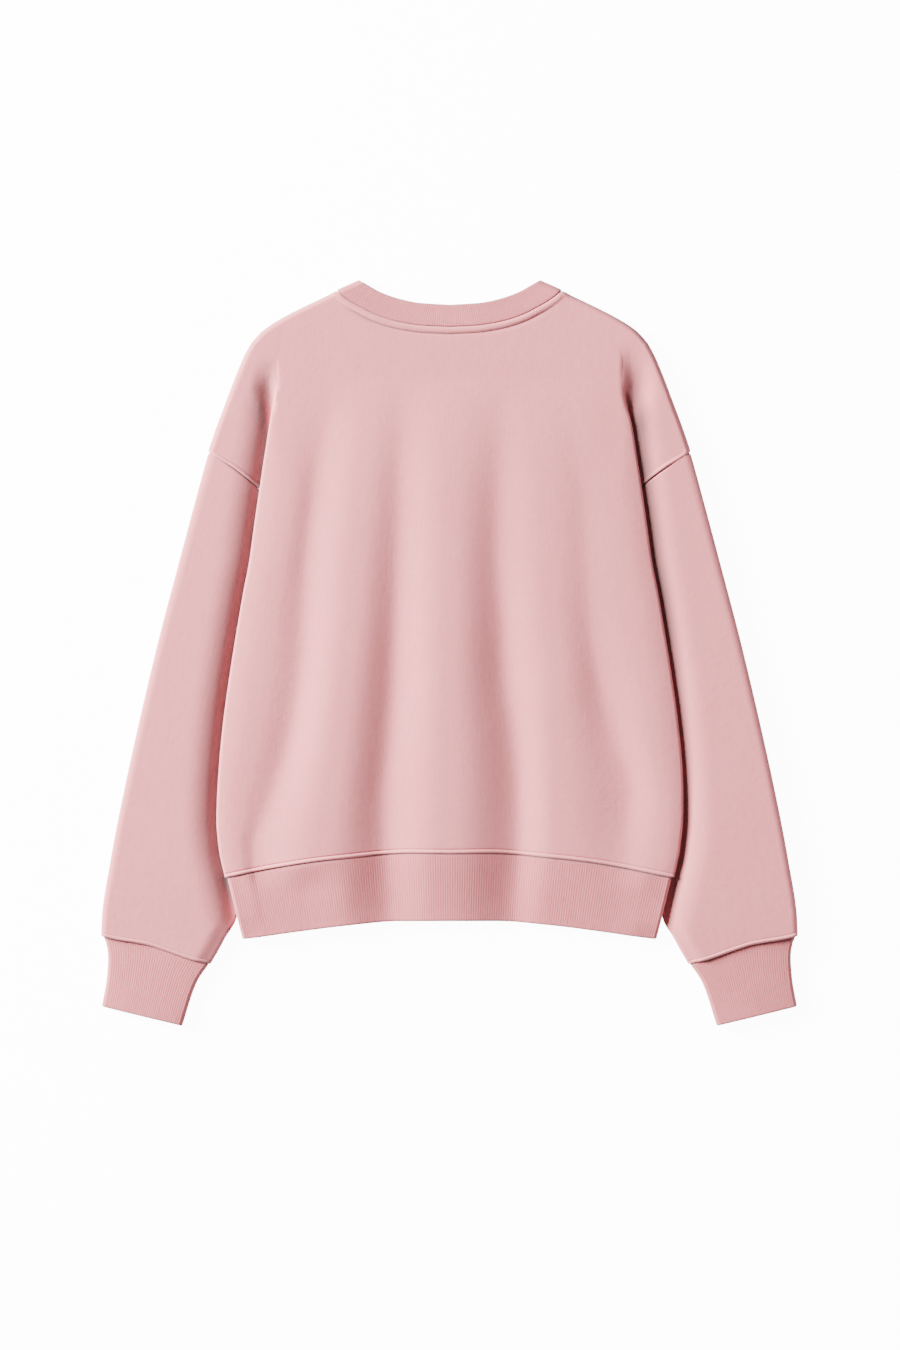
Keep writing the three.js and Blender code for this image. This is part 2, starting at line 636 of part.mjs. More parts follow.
function collarHeight(x, down, along) {
  const free = RIB * 1.5 + 0.5 + 4.5 * Math.sqrt(clamp(fromOutline(x, down) / CROWN_REACH, 0, 1));
  return lerp(Math.max(backHeight(x, down), RIB * 1.5 + 0.5), free, smoothstep(along, 0, 0.8));
}

// The way out of the cloth at a place of its middle surface, from the surface's own slopes there.
function outward(middle, a, b, limits) {
  if (limits.way) return limits.way(a, b);
  const step = 1e-3;
  const wide = limits.loop ? step : 0.5; // a panel's slope is taken from column to column, so that it stays even
  const lowA = limits.loop ? a : Math.max(a - wide, limits.a[0]);
  const highA = limits.loop ? a + wide : Math.min(a + wide, limits.a[1]);
  const lowB = Math.max(b - step, limits.b[0]);
  const highB = Math.min(b + step, limits.b[1]);
  const alongA = middle(highA, b).sub(middle(lowA, b));
  const alongB = middle(a, highB).sub(middle(a, lowB));
  return alongA.cross(alongB).normalize();
}

const evenly = (from, to, count) => Array.from({ length: count + 1 }, (_, i) => lerp(from, to, i / count));

// One face of the cloth: rows of points, moved out of the middle surface.
function face(middle, columns, rows, limits, reach, raise = () => 0) {
  return rows.map((b) =>
    columns.map((a, i) => {
      const way = outward(middle, a, b, limits);
      return middle(a, b).addScaledVector(way, reach + Math.sign(reach) * raise(a, b, i));
    }),
  );
}

// A strip of triangles between two lines of points that may be spaced differently.
function strip(lineA, atA, lineB, atB, triangles) {
  let i = 0;
  let j = 0;
  while (i < lineA.length - 1 || j < lineB.length - 1) {
    const nextA = i < lineA.length - 1 ? atA[i + 1] : Infinity;
    const nextB = j < lineB.length - 1 ? atB[j + 1] : Infinity;
    if (nextA <= nextB) {
      triangles.push(lineA[i], lineA[i + 1], lineB[j]);
      i += 1;
    } else {
      triangles.push(lineA[i], lineB[j + 1], lineB[j]);
      j += 1;
    }
  }
}

// A closed wall of cloth between its two faces. Each face has its own columns, and a tube's close on themselves.
function wall(outer, inner, loop) {
  const points = [];
  const triangles = [];
  const index = ({ grid }) => grid.map((row) => {
    const numbers = row.map((p) => points.push(p) - 1);
    return loop ? [...numbers, numbers[0]] : numbers;
  });
  const places = ({ columns }) => (loop ? [...columns, 4] : columns);
  const out = index(outer);
  const into = index(inner);
  const sheet = (rows, at, flip) => {
    for (let r = 0; r + 1 < rows.length; r++) {
      if (flip) strip(rows[r + 1], at, rows[r], at, triangles);
      else strip(rows[r], at, rows[r + 1], at, triangles);
    }
  };
  sheet(out, places(outer), false);
  sheet(into, places(inner), true);
  strip(into[0], places(inner), out[0], places(outer), triangles);
  strip(out.at(-1), places(outer), into.at(-1), places(inner), triangles);
  if (!loop) {
    const ends = (rows, end) => rows.map((row) => row.at(end));
    const steps = out.map((_, i) => i);
    strip(ends(out, 0), steps, ends(into, 0), steps, triangles);
    strip(ends(into, -1), steps, ends(out, -1), steps, triangles);
  }
  const geometry = new THREE.BufferGeometry();
  const positions = points.flatMap((p) => [p.x, p.y, p.z]);
  geometry.setAttribute("position", new THREE.Float32BufferAttribute(positions, 3));
  geometry.setIndex(facingOut(points, triangles));
  geometry.computeVertexNormals();
  return geometry;
}

// Turns every triangle round if the solid that they close is inside out.
function facingOut(points, triangles) {
  let volume = 0;
  for (let i = 0; i < triangles.length; i += 3) {
    const [a, b, c] = [0, 1, 2].map((n) => points[triangles[i + n]]);
    volume += a.dot(b.clone().cross(c));
  }
  if (volume > 0) return triangles;
  return triangles.map((_, i) => triangles[i - (i % 3) + 2 - (i % 3)]);
}

// A panel of body cloth, from its middle surface over columns counted from the middle.
function panel(middle, count, way) {
  const columns = evenly(-count, count, 2 * count);
  const limits = { a: [-count, count], b: [SHOULDER_DROP, SIDE_END], way };
  const half = FLEECE / 2;
  return wall(
    { grid: face(middle, columns, PANEL_ROWS, limits, half), columns },
    { grid: face(middle, columns, PANEL_ROWS, limits, -half), columns },
    false,
  );
}

// Columns round a tube: the upper layer's, then an even count on each fold and on the lower layer.
function round(upper, foldSteps, lower) {
  const steps = (values, start) => values.slice(0, -1).map((value) => start + value);
  return [
    ...steps(upper, 0),
    ...steps(evenly(0, 1, foldSteps), 1),
    ...steps(lower, 2),
    ...steps(evenly(0, 1, foldSteps), 3),
  ];
}

// The front lies under everything as one height over each place, so its way out is read from those heights.
function frontWay(column, row) {
  const at = front(column, row);
  const height = (dx, dDown) => frontHeight(at.x + dx, LENGTH / 2 - at.y + dDown);
  return new THREE.Vector3(height(-0.5, 0) - height(0.5, 0), height(0, 0.5) - height(0, -0.5), 1).normalize();
}

function tube(middle, outerColumns, innerColumns, rows, thickness, outside, raise, way) {
  const limits = { loop: true, b: [rows[0], rows.at(-1)], way };
  const reach = (outside * thickness) / 2;
  return wall(
    { grid: face(middle, outerColumns, rows, limits, reach, raise), columns: outerColumns },
    { grid: face(middle, innerColumns, rows, limits, -reach), columns: innerColumns },
    true,
  );
}

const SLEEVE_ROWS = [0, 0.03, 0.07, 0.13, 0.22, 0.32, 0.43, 0.54, 0.65, 0.75, 0.84, 0.91, 0.96, 1];
function sleeveTube(side) {
  const lower = ARM_SHARES.map((share) => 1 - share).reverse();
  const columns = round(ARM_SHARES, 3, lower);
  const middle = (turn, along) => {
    const { at, height } = sleeveAt(turn, along);
    return point(side * at.x, at.y, height);
  };
  const way = (turn, along) => sleeveAt(turn, along).way.multiply(new THREE.Vector3(side, 1, 1)).normalize();
  return tube(middle, columns, columns, SLEEVE_ROWS, FLEECE, 1, () => 0, way);
}

// Ribs stand on the upper layer only: the lower one rests flat.
const ribRaise = (turn, along, i) => (turn < 1 && i % 2 ? RIB_HEIGHT : 0);

function cuffTube(side) {
  const ribs = round(evenly(0, 1, 2 * CUFF_RIBS), 3, evenly(0, 1, 10));
  const plain = round(evenly(0, 1, 12), 3, evenly(0, 1, 10));
  const rows = CUFF.map((row) => row.part);
  return tube(cuff(side), ribs, plain, rows, RIB, -side, ribRaise);
}

function hemTube() {
  const ribCount = Math.round((2 * 214) / RIB_PITCH);
  const ramp = [0, 0.008, 0.017, 0.026, 0.035, 0.045, 0.058, 0.073];
  const under = [...ramp, ...evenly(0.1, 0.9, 8), ...ramp.map((share) => 1 - share).reverse()];
  const ribs = round(evenly(0, 1, 2 * ribCount), 3, under);
  const plain = round(evenly(0, 1, 40), 3, under);
  return tube(hemBand, ribs, plain, [0, 0.5, 1], RIB, 1, ribRaise);
}

function collarTube() {
  const ribCount = Math.round(235 / RIB_PITCH);
  const frontSteps = evenly(0, Math.PI, 2 * NECK_COLUMNS).map((angle) => (1 - Math.cos(angle)) / 2);
  const ribs = round(evenly(0, 1, 2 * ribCount), 2, frontSteps);
  const plain = round(evenly(0, 1, 28), 2, frontSteps);
  return tube(collar, ribs, plain, [0, 0.5, 1], RIB, 1, ribRaise);
}

const cloth = { color: 0xe0b4b6, roughness: 0.95, metalness: 0 };
const ribKnit = { color: 0xdaadaf, roughness: 0.95, metalness: 0 };

function piece(name, geometry, finish) {
  const mesh = new THREE.Mesh(geometry, new THREE.MeshStandardMaterial(finish));
  mesh.name = name;
  return mesh;
}

const sweatshirt = new THREE.Group();
sweatshirt.add(
  piece("back", panel(back, BACK_COLUMNS), cloth),
  piece("front", panel(front, FRONT_COLUMNS, frontWay), cloth),
  piece("sleeve_left", sleeveTube(-1), cloth),
  piece("sleeve_right", sleeveTube(1), cloth),
  piece("cuff_left", cuffTube(-1), ribKnit),
  piece("cuff_right", cuffTube(1), ribKnit),
  piece("hem_band", hemTube(), ribKnit),
  piece("collar", collarTube(), ribKnit),
);

export default sweatshirt;
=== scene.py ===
# %% [markdown]
# # A crewneck sweatshirt, laid flat with its back upward
#
# Each plain solid is then replaced by the cloth itself, at the same place and with finer folds and ribs.
# %% Load the fixed frame
import math

import bpy
import numpy as np
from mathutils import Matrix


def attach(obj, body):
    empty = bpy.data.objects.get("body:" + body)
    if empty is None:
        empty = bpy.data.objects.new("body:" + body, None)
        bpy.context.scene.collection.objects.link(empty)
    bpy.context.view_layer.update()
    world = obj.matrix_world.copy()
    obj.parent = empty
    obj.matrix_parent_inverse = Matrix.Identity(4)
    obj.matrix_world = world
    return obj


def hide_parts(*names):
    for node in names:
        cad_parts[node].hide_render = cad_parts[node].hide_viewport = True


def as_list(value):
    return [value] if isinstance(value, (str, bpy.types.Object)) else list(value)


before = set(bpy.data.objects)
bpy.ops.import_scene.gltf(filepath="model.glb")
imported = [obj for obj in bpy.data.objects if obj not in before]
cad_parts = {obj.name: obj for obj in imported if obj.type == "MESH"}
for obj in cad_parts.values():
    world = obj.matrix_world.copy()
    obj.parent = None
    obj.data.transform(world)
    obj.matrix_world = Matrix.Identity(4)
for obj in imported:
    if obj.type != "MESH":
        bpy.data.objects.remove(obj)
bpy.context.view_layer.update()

# %% [markdown]
# The camera looks straight down, as in the photograph, from far enough away for a flat view.
# One pixel of the photograph is one millimetre, and the garment lies 22 mm above the picture's middle.
# %% Camera
PICTURE_HEIGHT = 1.350
CAMERA_HEIGHT = 4.0
bpy.ops.object.select_all(action="DESELECT")
bpy.ops.object.camera_add(location=(0.0005, -0.022, CAMERA_HEIGHT), rotation=(0, 0, 0))
camera = bpy.context.object
camera.data.sensor_fit = "VERTICAL"
camera.data.sensor_height = 36
camera.data.lens = 36 * (CAMERA_HEIGHT - 0.008) / PICTURE_HEIGHT
bpy.context.scene.camera = camera
print("lens", round(camera.data.lens, 1), "mm")

# %% [markdown]
# The sizes are those of the real garment, in millimetres. "Down" is the distance from the collar's tips
# towards the hem. The cloth is brushed fleece 2 mm thick, and the bands are rib knit folded double.
# %% Sizes
MM = 0.001
LENGTH = 747
FLEECE, RIB = 2.0, 2.6
SEAM = 0.3
NECK_HALF, NECK_DROP, FRONT_NECK_DROP = 112.5, 11.4, 95
SHOULDER_HALF, SHOULDER_DROP = 198, 64
SHOULDER_SEAM_END = 173
UNDERARM_DROP = 320
SIDE_SEAM_SHOWS = 235
CUFF_DROP, CUFF_INNER_DROP = 656, 684.5
HEM_CORNER_HALF = 218
COLLAR_HALF, FRONT_COLLAR_DROP = 90, 72
FLOOR_LAYER, SLEEVE_UNDER, BODY_UNDER, OUTLINE_EDGE = 1.0, 3.6, 6.1, 3.3
CROWN_REACH, ARM_RISE, SLEEVE_SIDE, OUTER_ROLL = 5, 40, 7, 1.7
TURN = (BODY_UNDER - SLEEVE_UNDER) / 2
print("garment", LENGTH, "mm long")

# %% [markdown]
# Every edge and seam is a short table of places read off the garment. curve() draws a smooth line through
# them that never overshoots, as a cutter's curve does, so a few rows are enough for a whole sleeve.
# %% Smooth lines through a few places
def lerp(a, b, t):
    return a + (b - a) * t


def ease(x, low, high):
    t = np.clip((x - low) / (high - low), 0, 1)
    return t * t * (3 - 2 * t)


def curve(*rows):
    keys, values = np.array(rows, float).T
    rise = np.diff(values) / np.diff(keys)
    both = rise[:-1] * rise[1:]
    inner = np.where(both <= 0, 0, 2 * both / np.where(both <= 0, 1, rise[:-1] + rise[1:]))
    slopes = np.concatenate([rise[:1], inner, rise[-1:]])

    def read(at):
        at = np.clip(at, keys[0], keys[-1])
        i = np.clip(np.searchsorted(keys, at, side="right") - 1, 0, len(keys) - 2)
        step = keys[i + 1] - keys[i]
        t = (at - keys[i]) / step
        swing = slopes[i] * t * (1 - t) ** 2 - slopes[i + 1] * t * t * (1 - t)
        return lerp(values[i], values[i + 1], t * t * (3 - 2 * t)) + step * swing

    return read


def bump(x, middle, width):
    """A soft hill of height 1, nothing further than width from its middle."""
    t = np.clip(1 - np.abs(x - middle) / width, 0, 1)
    return t * t * (3 - 2 * t)


# %% Outline and seams, as half widths by distance down, or the other way round
outline = curve((64, 198), (77, 205), (101, 215), (125, 224), (149, 233), (173, 241), (220, 254), (280, 270),
                (360, 291), (440, 310), (520, 327.5), (580, 339), (640, 348), (656, 348.5))
shoulder = curve((112.5, 11.4), (121, 16), (146, 28), (169, 40), (187, 52), (198, 64))
back_neckline = curve((0, 47.6), (26, 46.4), (43.7, 44), (58.9, 40.5), (74.8, 34.9), (85.2, 29.6), (98, 22.4),
                      (105, 17.6), (112.5, 11.4))
back_collar = curve((0, 25.2), (30, 23.3), (50, 19.4), (70, 12.3), (80, 6.5), (90, 0))
armhole = curve((173, 241), (191, 212.5), (210, 190), (220, 183), (235, 177.5), (255, 172.5), (280, 168.5),
                (302, 165), (320, 163.5))
body_edge = curve((20, 170), (105, 174), (137, 179), (173, 184.5), (240, 194.5), (280, 200), (320, 207.5),
                  (400, 220.5), (440, 226), (480, 230), (520, 232.5), (540, 233), (570, 230.5), (598, 224.5),
                  (660, 210.5))
hidden_turn = curve((90, 171), (125, 173.5), (150, 176.5), (173, 177.5), (201, 179.5), (220, 179), (235, 176.5))
side_seam = curve((235, 177), (255, 172.5), (280, 168.5), (320, 163.5), (345, 167), (380, 188), (430, 206),
                  (480, 216), (530, 222), (565, 222.5), (598, 218.5))
sleeve_fold = curve((320, 163.5), (345, 169.5), (500, 192), (640, 213.6), (658, 224), (671, 231), (684.5, 239))
crest = curve((40, 10), (173, 12), (420, 13), (600, 12.5), (690, 10.5))
cuff_seam = curve((239, 684.5), (254, 681), (286, 670), (302, 665), (334, 659.5), (348.5, 656))
hem_seam_line = curve((0, 574), (38, 573.6), (70, 575.5), (102, 578.5), (134, 582), (166, 587), (200, 593.5),
                      (224.5, 598.5))
hem_edge_line = curve((0, 641.3), (50, 641.8), (100, 645.7), (150, 652), (200, 659), (210, 660))


def hem_seam(x):
    return hem_seam_line(np.abs(x))


def hem_edge(x):
    return hem_edge_line(np.abs(x))


SIDE_END = float(hem_seam(HEM_CORNER_HALF)) - SEAM
print("side seam ends", round(SIDE_END), "mm down")

# %% [markdown]
# A loose, heavy back doesn't lie flat: it stands in long soft folds that fade in below the shoulders and
# grow towards the hem. Each fold is one line down the garment, a ridge or a trough, with its own heights.
# %% The long folds of the back
FOLDS = [
    # across at each distance down, then heights of the cloth: trough, ridge, trough, ridge and so on
    (curve((130, -122), (160, -129), (220, -136), (280, -143), (400, -152), (460, -162), (520, -181), (560, -196)),
     curve((100, 9.7), (160, 9.5), (460, 9.3), (600, 9.5))),
    (curve((130, -80), (160, -84), (220, -91), (340, -101), (460, -115), (520, -122), (600, -134)),
     curve((100, 9.7), (160, 13), (220, 15), (340, 16.6), (520, 18), (600, 18))),
    (curve((130, -48), (220, -50), (400, -56), (460, -60), (520, -65), (600, -65)),
     curve((100, 9.7), (160, 11.3), (220, 11.2), (280, 10.5), (400, 8.6), (600, 7.8))),
    (curve((130, 0), (220, -3), (520, -5), (600, -10)),
     curve((100, 9.7), (160, 14.5), (220, 16.5), (400, 17.8), (600, 17))),
    (curve((130, 53), (280, 50), (340, 53), (400, 56), (460, 64), (520, 68), (600, 68)),
     curve((100, 9.7), (160, 11.5), (280, 9.8), (400, 7.2), (520, 5.6), (600, 5.8))),
    (curve((130, 84), (220, 93), (340, 98), (400, 105), (600, 107)),
     curve((100, 9.7), (160, 12.8), (220, 14), (400, 14.3), (460, 12.8), (600, 11.8))),
    (curve((130, 122), (160, 128), (220, 137), (340, 142), (400, 151), (460, 164), (520, 177), (600, 172)),
     curve((100, 9.7), (160, 11.8), (280, 11.4), (400, 8.8), (520, 6.8), (600, 9.2))),
]
edge_height = curve((130, 10), (340, 10.5), (600, 10.5))
EDGE_INSET = 3.2


def fold_height(x, down):
    edge = body_edge(down) - EDGE_INSET
    puff = 22 * ease(down, 110, 220) * (1 - 0.45 * ease(down, 440, 540))
    at_edge = edge_height(down)
    top = at_edge + 0.09 * puff
    lines = [(puff - edge, top)] + [(line(down), height(down)) for line, height in FOLDS] + [(edge - puff, top)]
    past_crest = np.clip((np.abs(x) - edge + puff) / np.maximum(puff, 1), 0, 1)
    found = top + (at_edge - top) * past_crest ** 2
    for (x0, z0), (x1, z1) in zip(lines, lines[1:]):
        t = np.clip((x - x0) / (x1 - x0), 0, 1)
        t = np.where(z0 > z1, t ** 1.5, 1 - (1 - t) ** 1.3)  # a trough is narrower than a ridge
        found = np.where((x >= x0) & (x < x1), lerp(z0, z1, ease(t, 0, 1)), found)
    return found


print("folds:", len(FOLDS))

# %% [markdown]
# At the shoulders and down the outer arms the upper layer rounds over and meets the lower one. The height
# there depends on the distance to the nearest place of the outline, so the outline is sampled once.
# %% Rounding over at the outline
halves = np.linspace(112.5, 198, 30)
downs = np.linspace(64, 656, 90)
RIM = np.vstack([[[COLLAR_HALF, 0]], np.c_[halves, shoulder(halves)], np.c_[outline(downs), downs][1:]])


def from_outline(x, down):
    """Distance in from the outline, less than nothing outside it."""
    place = np.stack(np.broadcast_arrays(np.abs(x), down), -1).astype(float)
    least = np.full(place.shape[:-1], np.inf)
    inside = np.ones_like(least)
    for start, end in zip(RIM, RIM[1:]):
        way = end - start
        off = place - start
        t = np.clip(off @ way / (way @ way), 0, 1)
        distance = np.linalg.norm(off - t[..., None] * way, axis=-1)
        nearer = distance < least
        least = np.where(nearer, distance, least)
        inside = np.where(nearer, np.sign(way[0] * off[..., 1] - way[1] * off[..., 0]), inside)
    return least * np.where(inside == 0, 1, inside)


def crown(distance, height):
    inward = np.clip(1 - distance / CROWN_REACH, 0, 1)
    return OUTLINE_EDGE + (height - OUTLINE_EDGE) * np.sqrt(1 - inward ** 2)


def back_height(x, down):
    return crown(from_outline(x, down), fold_height(x, down))


def arm_height(x, down):
    """The sleeve's upper layer and the dropped shoulder: low beside the body, then a crest."""
    full = crest(down)
    inner_side = lerp(SLEEVE_SIDE, full, ease(np.abs(x) - sleeve_fold(down), 0, ARM_RISE / 2))
    top = crown(from_outline(x, down), lerp(full, inner_side, ease(down, 600, 684)))
    away = 1 - (1 - np.clip((np.abs(x) - body_edge(down) - 1) / 32, 0, 1)) ** 2.2
    dip = ease(down, 92, 134) * (1 - ease(down, 640, 684))
    return lerp(top, lerp(SLEEVE_UNDER, top, away), dip)


print("height in the middle of the back", round(float(back_height(np.array(0.0), np.array(300.0))), 1), "mm")

# %% [markdown]
# Cloth is easiest to place by its two directions. A grid primitive is added, and each of its points is put
# where the cloth is at that column and row. The grid's own UV map is stretched to the cloth's real size in
# metres, so that a knit pattern has one scale everywhere. Attributes keep what belongs to the surface.
# %% A piece of cloth from a grid
def cloth(name, columns, rows, place):
    wide, long = len(columns) - 1, len(rows) - 1
    bpy.ops.object.select_all(action="DESELECT")
    bpy.ops.mesh.primitive_grid_add(x_subdivisions=wide, y_subdivisions=long, size=2)
    piece = bpy.context.object
    piece.name = piece.data.name = name
    mesh = piece.data
    flat = np.empty(len(mesh.vertices) * 3)
    mesh.vertices.foreach_get("co", flat)
    c = np.rint((flat[0::3] + 1) / 2 * wide).astype(int)
    r = np.rint((flat[1::3] + 1) / 2 * long).astype(int)
    points, marks = place(np.asarray(columns, float)[c], np.asarray(rows, float)[r])
    points = points * MM
    mesh.vertices.foreach_set("co", points.ravel())
    laid = np.empty((long + 1, wide + 1, 3))
    laid[r, c] = points
    across = np.append(0, np.linalg.norm(np.diff(laid, axis=1), axis=2).mean(axis=0).cumsum())
    along = np.append(0, np.linalg.norm(np.diff(laid, axis=0), axis=2).mean(axis=1).cumsum())
    corner = np.empty(len(mesh.loops), int)
    mesh.loops.foreach_get("vertex_index", corner)
    mesh.uv_layers[0].data.foreach_set("uv", np.c_[across[c[corner]], along[r[corner]]].ravel())
    for mark, values in marks.items():
        kept = mesh.attributes.new(mark, "FLOAT", "POINT").data
        kept.foreach_set("value", np.broadcast_to(values, c.shape).astype(float))
    mesh.update()
    print(name, wide, "by", long, "cells,", round(across[-1] * 1000), "by", round(along[-1] * 1000), "mm")
    return piece


def place_at(x, down, z):
    return np.stack(np.broadcast_arrays(x, LENGTH / 2 - down, z), -1)


def close_up(piece):
    """Merges the points where a tube's ends meet, and turns its faces outwards."""
    bpy.ops.object.mode_set(mode="EDIT")
    bpy.ops.mesh.select_all(action="SELECT")
    bpy.ops.mesh.remove_doubles(threshold=0.00001)
    bpy.ops.mesh.normals_make_consistent(inside=False)
    bpy.ops.object.mode_set(mode="OBJECT")


def give_thickness(piece, thickness):
    wall = piece.modifiers.new("Cloth", "SOLIDIFY")
    wall.thickness = thickness * MM
    wall.offset = 0
    bpy.ops.object.modifier_apply(modifier=wall.name)
    bpy.ops.object.shade_smooth_by_angle(angle=math.radians(50))


def spaced(*stops):
    """Places from stop to stop: each further stop is (place, number of steps to it)."""
    places = [float(stops[0])]
    for stop, steps in stops[1:]:
        places += list(np.linspace(places[-1], stop, steps + 1)[1:])
    return places


# %% [markdown]
# The back is one panel with dropped shoulders. Loose cloth has slid inwards, so that its sides are folded
# under: past the flat of the back the columns run round the rolled edge, back inwards beneath it and, at
# the shoulders, round a second hidden turn and out again to the armhole. Its top row is the neckline and
# the shoulders, and its last row the hem seam.
# %% Middle of the back's cloth
FLAT, EDGE = 12, 12
ROLL_END, UNDER_END, TURN_END = 4, 6, 8
NECK_STEP = NECK_HALF / 8


def row_down(row, top_down, hem_half):
    part = (row - SHOULDER_DROP) / (SIDE_END - SHOULDER_DROP)
    from_top = (top_down - SHOULDER_DROP) * (1 - ease(part, 0, 0.45))
    from_hem = (hem_seam(np.minimum(hem_half, HEM_CORNER_HALF)) - SEAM - SIDE_END) * ease(part, 0.5, 1)
    return row + from_top + from_hem


def roll_radius(down):
    return (edge_height(down) - BODY_UNDER) / 2


def roll_start(down):
    return body_edge(down) - FLEECE / 2 - roll_radius(down)


def spread(down):
    return outline(np.clip(down, SHOULDER_DROP, SHOULDER_SEAM_END)) / SHOULDER_HALF


def past_edge(step, down, row):
    roll, start = roll_radius(down), roll_start(down)
    angle = np.radians(90 - 180 * np.minimum(step, ROLL_END) / ROLL_END)
    x, z = start + roll * np.cos(angle), BODY_UNDER + roll * (1 + np.sin(angle))
    beneath = step > ROLL_END
    # beside the lower body the panel ends at the side seam, under the rolled edge
    end = side_seam(down)
    margin = lerp(1.2, (start - end) * 0.6, ease(down, SIDE_SEAM_SHOWS, 400))
    low_x = np.where(step <= UNDER_END, lerp(start, end + margin, (step - ROLL_END) / 2),
                     lerp(end + margin, end, (step - UNDER_END) / 6))
    # at the shoulder it turns once more and comes out again
    turn = hidden_turn(down)
    swing = np.pi * np.clip((step - UNDER_END) / 2, 0, 1)
    high_x = np.where(step <= UNDER_END, lerp(start, turn + TURN, (step - ROLL_END) / 2),
                      turn + TURN * (1 - np.sin(swing)))
    high_z = lerp(BODY_UNDER, arm_height(turn + TURN, down), (1 - np.cos(swing)) / 2)
    seam = np.where(down < SHOULDER_SEAM_END, outline(down), armhole(down) - SEAM)
    out_x = lerp(turn + TURN, seam, (step - TURN_END) / 4)
    high_x = np.where(step > TURN_END, out_x, high_x)
    high_z = np.where(step > TURN_END, arm_height(out_x, down), high_z)
    shoulder_row = row < SIDE_SEAM_SHOWS
    x = np.where(beneath, np.where(shoulder_row, high_x, low_x), x)
    z = np.where(beneath, np.where(shoulder_row, high_z, BODY_UNDER), z)
    return x, z


dimple_place = curve((80, 11), (104, 13.5), (124, 11), (144, 6), (160, 3), (200, 1.5))


def pulled(down):
    """How much further the wearer's right edge has been pulled out."""
    return 2.5 * ease(down, 119, 150) * (1 - ease(down, 480, 570))


def dimple(down, side):
    """How far outside the body's edge the lowest place is, where each side fold begins as a soft dimple."""
    return dimple_place(down) * np.where(side < 0, 1, 0.55)


def back_middle(column, row):
    side, count = np.where(column < 0, -1.0, 1.0), np.abs(column)
    part = (row - SHOULDER_DROP) / (SIDE_END - SHOULDER_DROP)
    top_x = np.where(count <= FLAT, NECK_STEP * count, lerp(NECK_STEP * FLAT, SHOULDER_HALF, (count - FLAT) / EDGE))
    top_down = np.where(top_x < NECK_HALF, back_neckline(top_x) + 0.4, shoulder(top_x))
    hem_half = roll_start(SIDE_END) * np.minimum(1, count / FLAT)
    down = row_down(row, top_down, hem_half)
    settled = ease(part, 0, 0.12)
    flat_x = side * lerp(top_x * spread(down), roll_start(down) * count / FLAT, settled)
    flat_z = back_height(flat_x, down)
    step = np.maximum(count - FLAT, 0)
    edge = body_edge(down)
    wide_x = roll_start(down)
    for (s0, x0), (s1, x1) in zip(*[[(0, wide_x), (4, edge + 0.5), (6, edge + 4), (8, edge + 9),
                                     (12, outline(np.minimum(down, SHOULDER_SEAM_END)))][i:i + 4] for i in (0, 1)]):
        wide_x = np.where(step > s0, lerp(x0, x1, np.clip((step - s0) / (s1 - s0), 0, 1)), wide_x)
    open_x = lerp(top_x * spread(down), wide_x, settled)
    away = open_x - edge - dimple(down, side) - np.where(side < 0, -6.5, 3.5)
    depth = np.where(side < 0, 5 * ease(down, 74, 124), 4.6 * ease(down, 60, 110))
    outer_width, inner_width = np.where(side < 0, 19, 26), np.where(side < 0, 12, 15)
    depth = depth * np.where(away > 0, bump(away, 0, outer_width), bump(away, 0, inner_width))
    open_z = lerp(back_height(open_x, down), arm_height(open_x, down), step / EDGE) - depth
    folded_x, folded_z = past_edge(step, down, row)
    x = np.where(count <= FLAT, flat_x, side * lerp(open_x, folded_x, ease(down, 109, 140)))
    x = x + np.where((side > 0) & (step <= UNDER_END), ease(x, 150, 185) * pulled(down), 0)
    z = np.where(count <= FLAT, flat_z, lerp(open_z, folded_z, ease(down, 107, 138)))
    return x, down, z


# %% Place the back
def slant(line, at):
    """How much nearer a slanting line is than the level distance to it says."""
    return 1 / np.sqrt(1 + ((line(at + 1) - line(at - 1)) / 2) ** 2)


# How far the painted shade beside the body reaches over the sleeve, and how dark it is, by distance down.
shade_reach = curve((84, 19), (160, 19), (320, 18), (420, 14), (560, 10))
shade_depth = curve((84, 0.5), (104, 0.55), (124, 0.75), (150, 1), (320, 1), (420, 0.8), (560, 0.7))


def shade_beside_body(x, down, side):
    """Painted shade beside the body's rolled edge: 1 in the trough there, fading over the sleeve and, at its top, to
    the edge too.
    """
    left, middle = side < 0, dimple(down, side)
    away = np.abs(x) - body_edge(down) - np.where(left, 0, pulled(down))
    deep = np.where(left, 0.9 * ease(down, 74, 140), shade_depth(down) * ease(down, 58, 104))
    deep = deep * (1 - ease(down, 600, 655))
    outer = np.where(left, (1 - np.clip((away - middle) / curve((100, 20), (200, 28))(down), 0, 1)) ** 2.6,
                     1 - ease(away - middle, 5, shade_reach(down)))
    still_open = 1 - ease(down, 128, 160)
    inner = 1 - np.where(left, 0.7, 0.3) * still_open * np.clip((middle - away) / middle, 0, 1)
    inner = inner * (1 - ease(-away, -2, 1) * still_open)
    at_edge = np.where(left, 1, 1 - 0.5 * (1 - ease(away, 0, 4)) * (1 - still_open))
    return deep * at_edge * np.where(away > middle, outer, inner)


